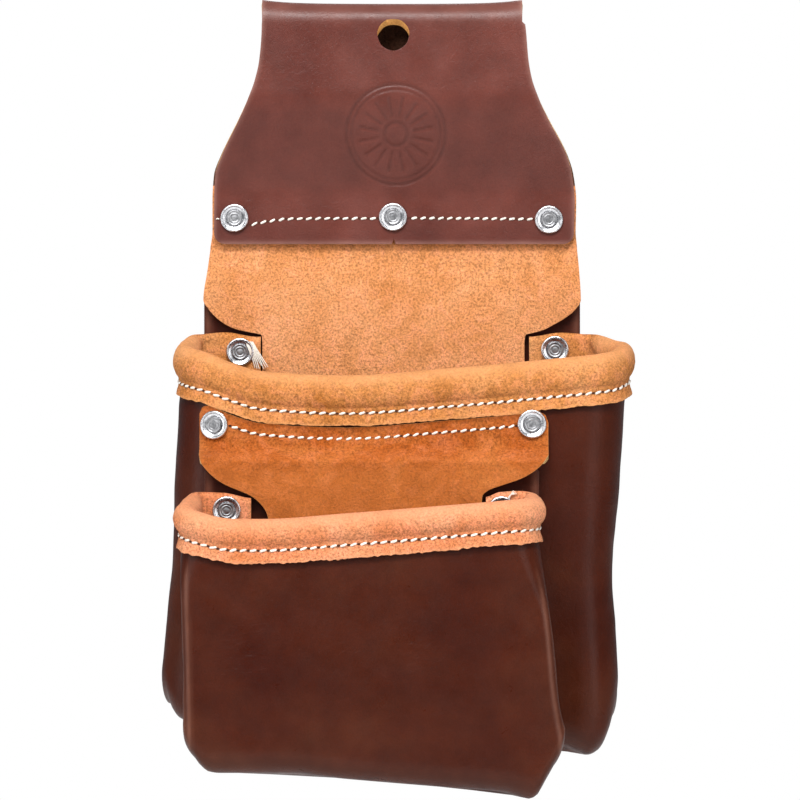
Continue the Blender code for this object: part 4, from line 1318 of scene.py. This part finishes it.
def make_back_seam(pouch):
    """Brown stitches that join the rear wall to the shell's folded-in edges."""
    face = rear_face(pouch)
    left = pouch.wall_edges[0] + SEAM_INSET
    right = pouch.wall_edges[1] - SEAM_INSET
    bend, steps = SEAM_BEND, 8

    def foot(x):
        return pouch.floor_mid - pouch.floor_slope * x + SEAM_ABOVE_FOOT

    path = [Vector((left, face, pouch.seam_top)), Vector((left, face, foot(left) + bend))]
    for k in range(1, steps + 1):
        turn = math.pi / 2 * k / steps
        x = left + bend * (1 - math.cos(turn))
        path.append(Vector((x, face, foot(x) + bend * (1 - math.sin(turn)))))
    for k in range(steps + 1):
        turn = math.pi / 2 * k / steps
        x = right - bend * (1 - math.sin(turn))
        path.append(Vector((x, face, foot(x) + bend * (1 - math.cos(turn)))))
    path.append(Vector((right, face, pouch.seam_top)))
    path = resample(path, 300)
    row = stitch_row(pouch.name + "_back_stitches", path, [Vector((0, 1, 0))] * len(path), SEAM_PITCH,
                     BROWN_THREAD, SHADED_NEEDLE_HOLE, radius=0.00050, lift=0.0002)
    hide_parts(pouch.name + "_back_seam")
    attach(row, pouch.body)
    return row


# ---- Outer pouch's panel --------------------------------------------------------------------------

MAIN_STEPS = (12, 8, 18, 22, 110)
OUTER_STEPS = (14, 7, 16, 18, 92)


def front_profile():
    """(x, y) of the outer face of a sheet lying on the front of the main pouch."""
    line = rim_plan(MAIN, (2, 4, 3, 12, 20))
    reach = BAG_LEATHER / 2 + 2 * GAP + BAG_LEATHER
    face = [p + n * reach for p, n in zip(line, outward_normals(line, closed=True))]
    return sorted((p.x, p.y) for p in face if forwardness(MAIN, p.y) > 0.45)


FRONT = front_profile()


def outer_panel_top(x):
    """The panel's top edge follows the lower edge of the main rim binding."""
    return roll_top(MAIN, x, MAIN.front_y) - MAIN.binding_height - 0.0006


def outer_panel_point(x, z):
    own = OUTER.back_y - BAG_LEATHER / 2
    lift = ease((OUTER_HINGE_Z - z) / (OUTER_HINGE_Z - OUTER_BEND_LOW))
    return Vector((x, mix(along(FRONT, x), own, lift), z))


def make_outer_panel():
    """Suede panel sewn to the main pouch's front: its strip, the bend, its ears and its neck."""
    across, strip_steps = 130, 20
    far_left, far_right = OUTER_PANEL_EDGES
    rows = []
    ears = list(np.arange(OUTER_HINGE_Z - 0.0009, -0.2290, -0.0009))
    neck = list(np.arange(-0.2300, OUTER_PANEL_FOOT, -0.0040))

    def soft(p, x, z):
        """The suede's slight crinkles, and the curl of its ears."""
        free = ease((-0.181 - z) / 0.010) * ease((z + 0.262) / 0.02)
        crinkle = 0.0008 * lump((x, 0, z), 0.026, 21) + 0.00035 * lump((x, 0, z), 0.010, 22)
        left, right = edges_at(OUTER_OUTLINE, z)
        curl = 0.0016 * hump(min(x - left, right - x), 0.0, 0.010) * hump(z, -0.2000, 0.012)
        return p + Vector((0, -(0.0010 + crinkle) * free - curl, 0))

    for step in range(strip_steps + 1):
        row = []
        for k in range(across + 1):
            x = mix(far_right, far_left, k / across)
            corner = corner_inset(min(x - far_left, far_right - x), 0.006)
            top = outer_panel_top(x) - corner + 0.0003 * lump((x, 0, 0), 0.004, 25)
            z = mix(top, OUTER_HINGE_Z, step / strip_steps)
            row.append(soft(outer_panel_point(x, z), x, z))
        rows.append(row)
    for z in ears + neck:
        left, right = edges_at(OUTER_OUTLINE, z)
        row = []
        for k in range(across + 1):
            x = mix(right, left, k / across)
            row.append(soft(outer_panel_point(x, z), x, z))
        rows.append(row)

    def wear_and_highlight(p):
        left, right = edges_at(OUTER_OUTLINE, p.z)
        side = min(abs(p.x - left), abs(p.x - right))
        # Pale cut edge along the outline, and the lower part lightened as painted light.
        return 0.40 * hump(side, 0.0, 0.0013) + 0.46 * ease((-0.184 - p.z) / 0.022)

    def shade(p):
        under = 0.55 * hump(p.z, outer_panel_top(p.x) + 0.001, 0.0022)
        deep = 0.40 * ease((-0.2300 - p.z) / 0.03)
        left, right = edges_at(OUTER_OUTLINE, p.z)
        inward = 0.16 * hump(min(p.x - left, right - p.x), 0.006, 0.006)
        inward *= hump(p.z, -0.201, 0.010)
        upper = 0.14 * ease((p.z + 0.206) / 0.022)
        return min(0.8, under + deep + inward + upper)

    mesh = grid_mesh(rows, wear_and_highlight=wear_and_highlight, shade=shade)
    panel = thicken("outer_suede_panel", mesh, BAG_LEATHER, [RUST, RUST, TAN_EDGE],
                    round_edge=0.0011, edge_slot=2)
    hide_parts("outer_panel", "outer_panel_strip")
    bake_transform(panel)
    return panel


# ---- Rivets ---------------------------------------------------------------------------------------

# (radius, height) in millimetres of the pressed washer: raised rim and cone down to its hole
WASHER = ((2.3, 0.30), (7.30, 0.30), (7.62, 0.42), (7.75, 0.75), (7.72, 1.20), (7.55, 1.58),
          (7.25, 1.82), (6.90, 1.90), (6.55, 1.80), (6.30, 1.55), (6.15, 1.32), (5.75, 1.16),
          (5.20, 1.06), (4.98, 0.98), (4.86, 0.80), (4.60, 0.72), (2.30, 0.70))


def rivet_profile(stack):
    """Back head, post and peened front head, in millimetres."""
    base = -stack * 1000 - 0.3
    return ((0, base - 1.60), (2.6, base - 1.50), (4.6, base - 1.05), (5.4, base - 0.55),
            (5.5, base - 0.20), (5.4, base), (2.0, base), (2.0, 0.95), (3.9, 0.98), (4.25, 1.10),
            (4.42, 1.38), (4.38, 1.72), (4.15, 1.98), (3.80, 2.06), (3.50, 1.96), (3.30, 1.84),
            (2.90, 1.84), (2.70, 1.94), (2.35, 1.96), (2.15, 1.84), (1.70, 1.82), (1.30, 1.90),
            (0.60, 1.94), (0, 1.95))


def make_rivet(name, place, outward, stack, body):
    tilt = Vector((random.uniform(-1, 1), 0, random.uniform(-1, 1))) * 0.03
    matrix = aim(place, (outward + tilt).normalized())
    washer = turned("washer_" + name, WASHER, matrix, NICKEL)
    rivet = turned("rivet_" + name, rivet_profile(stack), aim(place, outward), STEEL)
    for piece, node, slot in ((washer, "_washer", "nickel_plate"), (rivet, "_rivet", "steel")):
        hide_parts(name + node)
        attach(piece, body)


def make_rivets():
    ahead = Vector((0, -1, 0))
    for side, (x, z) in zip(("left", "middle", "right"), FLAP_RIVETS):
        make_rivet("flap_" + side, Vector((x, FLAP_FACE, z)), ahead, -FLAP_FACE, "belt_tunnel")
    for pouch in (MAIN, OUTER):
        front = pouch.back_y - (BAG_LEATHER / 2 + BINDING_SPACE + SUEDE + 0.00005)
        back = rear_face(pouch)
        for side, (x, z) in zip(("left", "right"), pouch.mouth_rivets):
            make_rivet(pouch.name + "_mouth_" + side, Vector((x, front, z)), ahead, back - front,
                       pouch.body)
    for side, (x, z) in zip(("left", "right"), OUTER_RIVETS):
        slope = (along(FRONT, x + 0.002) - along(FRONT, x - 0.002)) / 0.004
        outward = Vector((slope, -1.0, 0.0)).normalized()
        make_rivet("panel_" + side, outer_panel_point(x, z), outward, BAG_LEATHER * 2 + 0.0016,
                   "main_pouch")


# ---- Flat rows of stitches and loose thread ends --------------------------------------------------

FLAP_STITCH_LINES = (
    ("left", ((-0.0785, -0.0660), (-0.0700, -0.0642), (-0.0560, -0.0626), (-0.0300, -0.0624),
              (-0.0085, -0.0624))),
    ("right", ((0.0092, -0.0622), (0.0400, -0.0624), (0.0775, -0.0628))),
)


def make_flap_stitches():
    out = Vector((0, -1, 0))
    for name, knots in FLAP_STITCH_LINES:
        path = []
        for k in range(120):
            x = mix(knots[0][0], knots[-1][0], k / 119)
            path.append(Vector((x, FLAP_FACE, along(knots, x))))
        row = stitch_row("flap_stitches_" + name, path, [out] * len(path), FLAP_PITCH,
                         WHITE_THREAD, SHADED_NEEDLE_HOLE)
        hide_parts("flap_stitching_" + name)
        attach(row, "belt_tunnel")


def make_panel_stitches():
    path, outs = [], []
    for k in range(160):
        x = mix(OUTER_RIVETS[0][0] + 0.0085, OUTER_RIVETS[1][0] - 0.0085, k / 159)
        z = outer_panel_top(x) - 0.0062
        path.append(outer_panel_point(x, z))
        outs.append(Vector((0, -1, 0)))
    row = stitch_row("panel_stitches", path, outs, PANEL_PITCH, WHITE_THREAD, SHADED_NEEDLE_HOLE)
    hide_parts("outer_panel_stitching")
    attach(row, "main_pouch")


def add_tuft(name, paths, radius, body):
    tuft = strands(name, paths, radius, WHITE_THREAD)
    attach(tuft, body)


def make_loose_threads():
    """Cut thread ends at both pouches' mouths and at the flap's left rivet."""
    y = MAIN.back_y - 0.0042
    paths = []
    for k in range(7):
        drift = (k - 3) * 0.0006
        paths.append([Vector((-0.0790 + drift, y, -0.1300)),
                      Vector((-0.0768 + drift * 1.2, y - 0.0006, -0.1345)),
                      Vector((-0.0740 + drift * 1.6, y - 0.0004, -0.1400)),
                      Vector((-0.0722 + drift * 2.0, y, -0.1440 + random.uniform(-0.001, 0.001)))])
    add_tuft("thread_end_main", paths, 0.00042, "main_pouch")
    y = OUTER.back_y - 0.0042
    paths = []
    for k in range(4):
        drift = (k - 1.5) * 0.0006
        paths.append([Vector((0.0610 + drift, y, -0.2160)), Vector((0.0630, y - 0.0005, -0.2128)),
                      Vector((0.0655 + drift, y, -0.2112 - drift))])
    add_tuft("thread_end_outer", paths, 0.00032, "outer_pouch")
    bit = [Vector((-0.0955, FLAP_FACE - 0.0003, -0.0627)),
           Vector((-0.0962, FLAP_FACE - 0.0006, -0.0624)),
           Vector((-0.0972, FLAP_FACE - 0.0002, -0.0628))]
    add_tuft("thread_end_flap", [bit], 0.0004, "belt_tunnel")


# ---- Studio ---------------------------------------------------------------------------------------

def make_camera():
    data = bpy.data.cameras.new("camera")
    data.sensor_width = 36.0
    data.lens = 245.45
    data.clip_end = 20.0
    camera = bpy.data.objects.new("camera", data)
    camera.location = (0.00385, -3.0, -0.162)
    camera.rotation_euler = (math.radians(90), 0, 0)
    bpy.context.scene.collection.objects.link(camera)
    bpy.context.scene.camera = camera


def add_light(name, place, target, wide, tall, power):
    data = bpy.data.lights.new(name, "AREA")
    data.shape = "RECTANGLE"
    data.size = wide
    data.size_y = tall
    data.energy = power
    light = bpy.data.objects.new(name, data)
    light.location = place
    light.rotation_euler = (Vector(target) - Vector(place)).to_track_quat("-Z", "Y").to_euler()
    bpy.context.scene.collection.objects.link(light)


FLOOR_RADIUS = 2.6
FLOOR_Z = -0.58


def make_studio():
    """White surroundings for the camera, soft bluish light, five area lights and a pale floor."""
    world = bpy.data.worlds.new("studio")
    bpy.context.scene.world = world
    world.use_nodes = True
    nodes, links = world.node_tree.nodes, world.node_tree.links
    nodes.clear()
    seen = nodes.new("ShaderNodeBackground")
    seen.inputs["Color"].default_value = (1, 1, 1, 1)
    soft = nodes.new("ShaderNodeBackground")
    soft.inputs["Color"].default_value = (0.93, 0.96, 1.0, 1)
    soft.inputs["Strength"].default_value = 0.25
    path = nodes.new("ShaderNodeLightPath")
    mixer = nodes.new("ShaderNodeMixShader")
    output = nodes.new("ShaderNodeOutputWorld")
    links.new(path.outputs["Is Camera Ray"], mixer.inputs[0])
    links.new(soft.outputs[0], mixer.inputs[1])
    links.new(seen.outputs[0], mixer.inputs[2])
    links.new(mixer.outputs[0], output.inputs["Surface"])
    add_light("key", (-0.7, -2.3, 1.3), (0, 0, -0.15), 1.6, 1.2, 31)
    add_light("fill", (1.6, -2.0, 0.2), (0, 0, -0.18), 1.0, 1.8, 14)
    add_light("top", (0.0, -1.20, 1.25), (0, -0.02, 0.0), 1.3, 0.35, 38)
    add_light("back", (0.9, 2.3, 0.9), (0, 0, -0.18), 1.6, 1.4, 24)
    add_light("left", (-1.7, -0.9, -0.1), (0, 0, -0.2), 0.6, 1.8, 11)
    bpy.context.scene.view_settings.view_transform = "Standard"
    floor = bpy.data.meshes.new("floor")
    turns = [2 * math.pi * k / 96 for k in range(96)]
    ring = [(FLOOR_RADIUS * math.cos(a), FLOOR_RADIUS * math.sin(a) - 0.1, FLOOR_Z) for a in turns]
    floor.from_pydata(ring, [], [tuple(range(96))])
    finish = Finish("pale_floor", 0.8)
    finish.feed(finish.ramp(finish.noise(3, 2), (0.3, 0.80), (0.7, 0.84)), "Base Color")
    add_object("floor", floor, [finish.material])


# ---- Build ----------------------------------------------------------------------------------------

make_camera()
make_studio()
make_strap()
make_outer_panel()
for pouch, steps, down, suede_finish in ((MAIN, MAIN_STEPS, 90, BINDING),
                                         (OUTER, OUTER_STEPS, 70, PEACH)):
    make_shell(pouch, steps, down)
    make_rear_wall(pouch)
    fine = (steps[0] * 2, steps[1] * 2, steps[2] * 2, steps[3] * 2, steps[4] * 3)
    make_binding(pouch, suede_finish, fine)
    make_rim_stitches(pouch, steps)
    make_back_seam(pouch)
    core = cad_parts[pouch.name + "_rim_core"]
    for slot in core.material_slots:
        slot.material = CORD
make_rivets()
make_flap_stitches()
make_panel_stitches()
make_loose_threads()
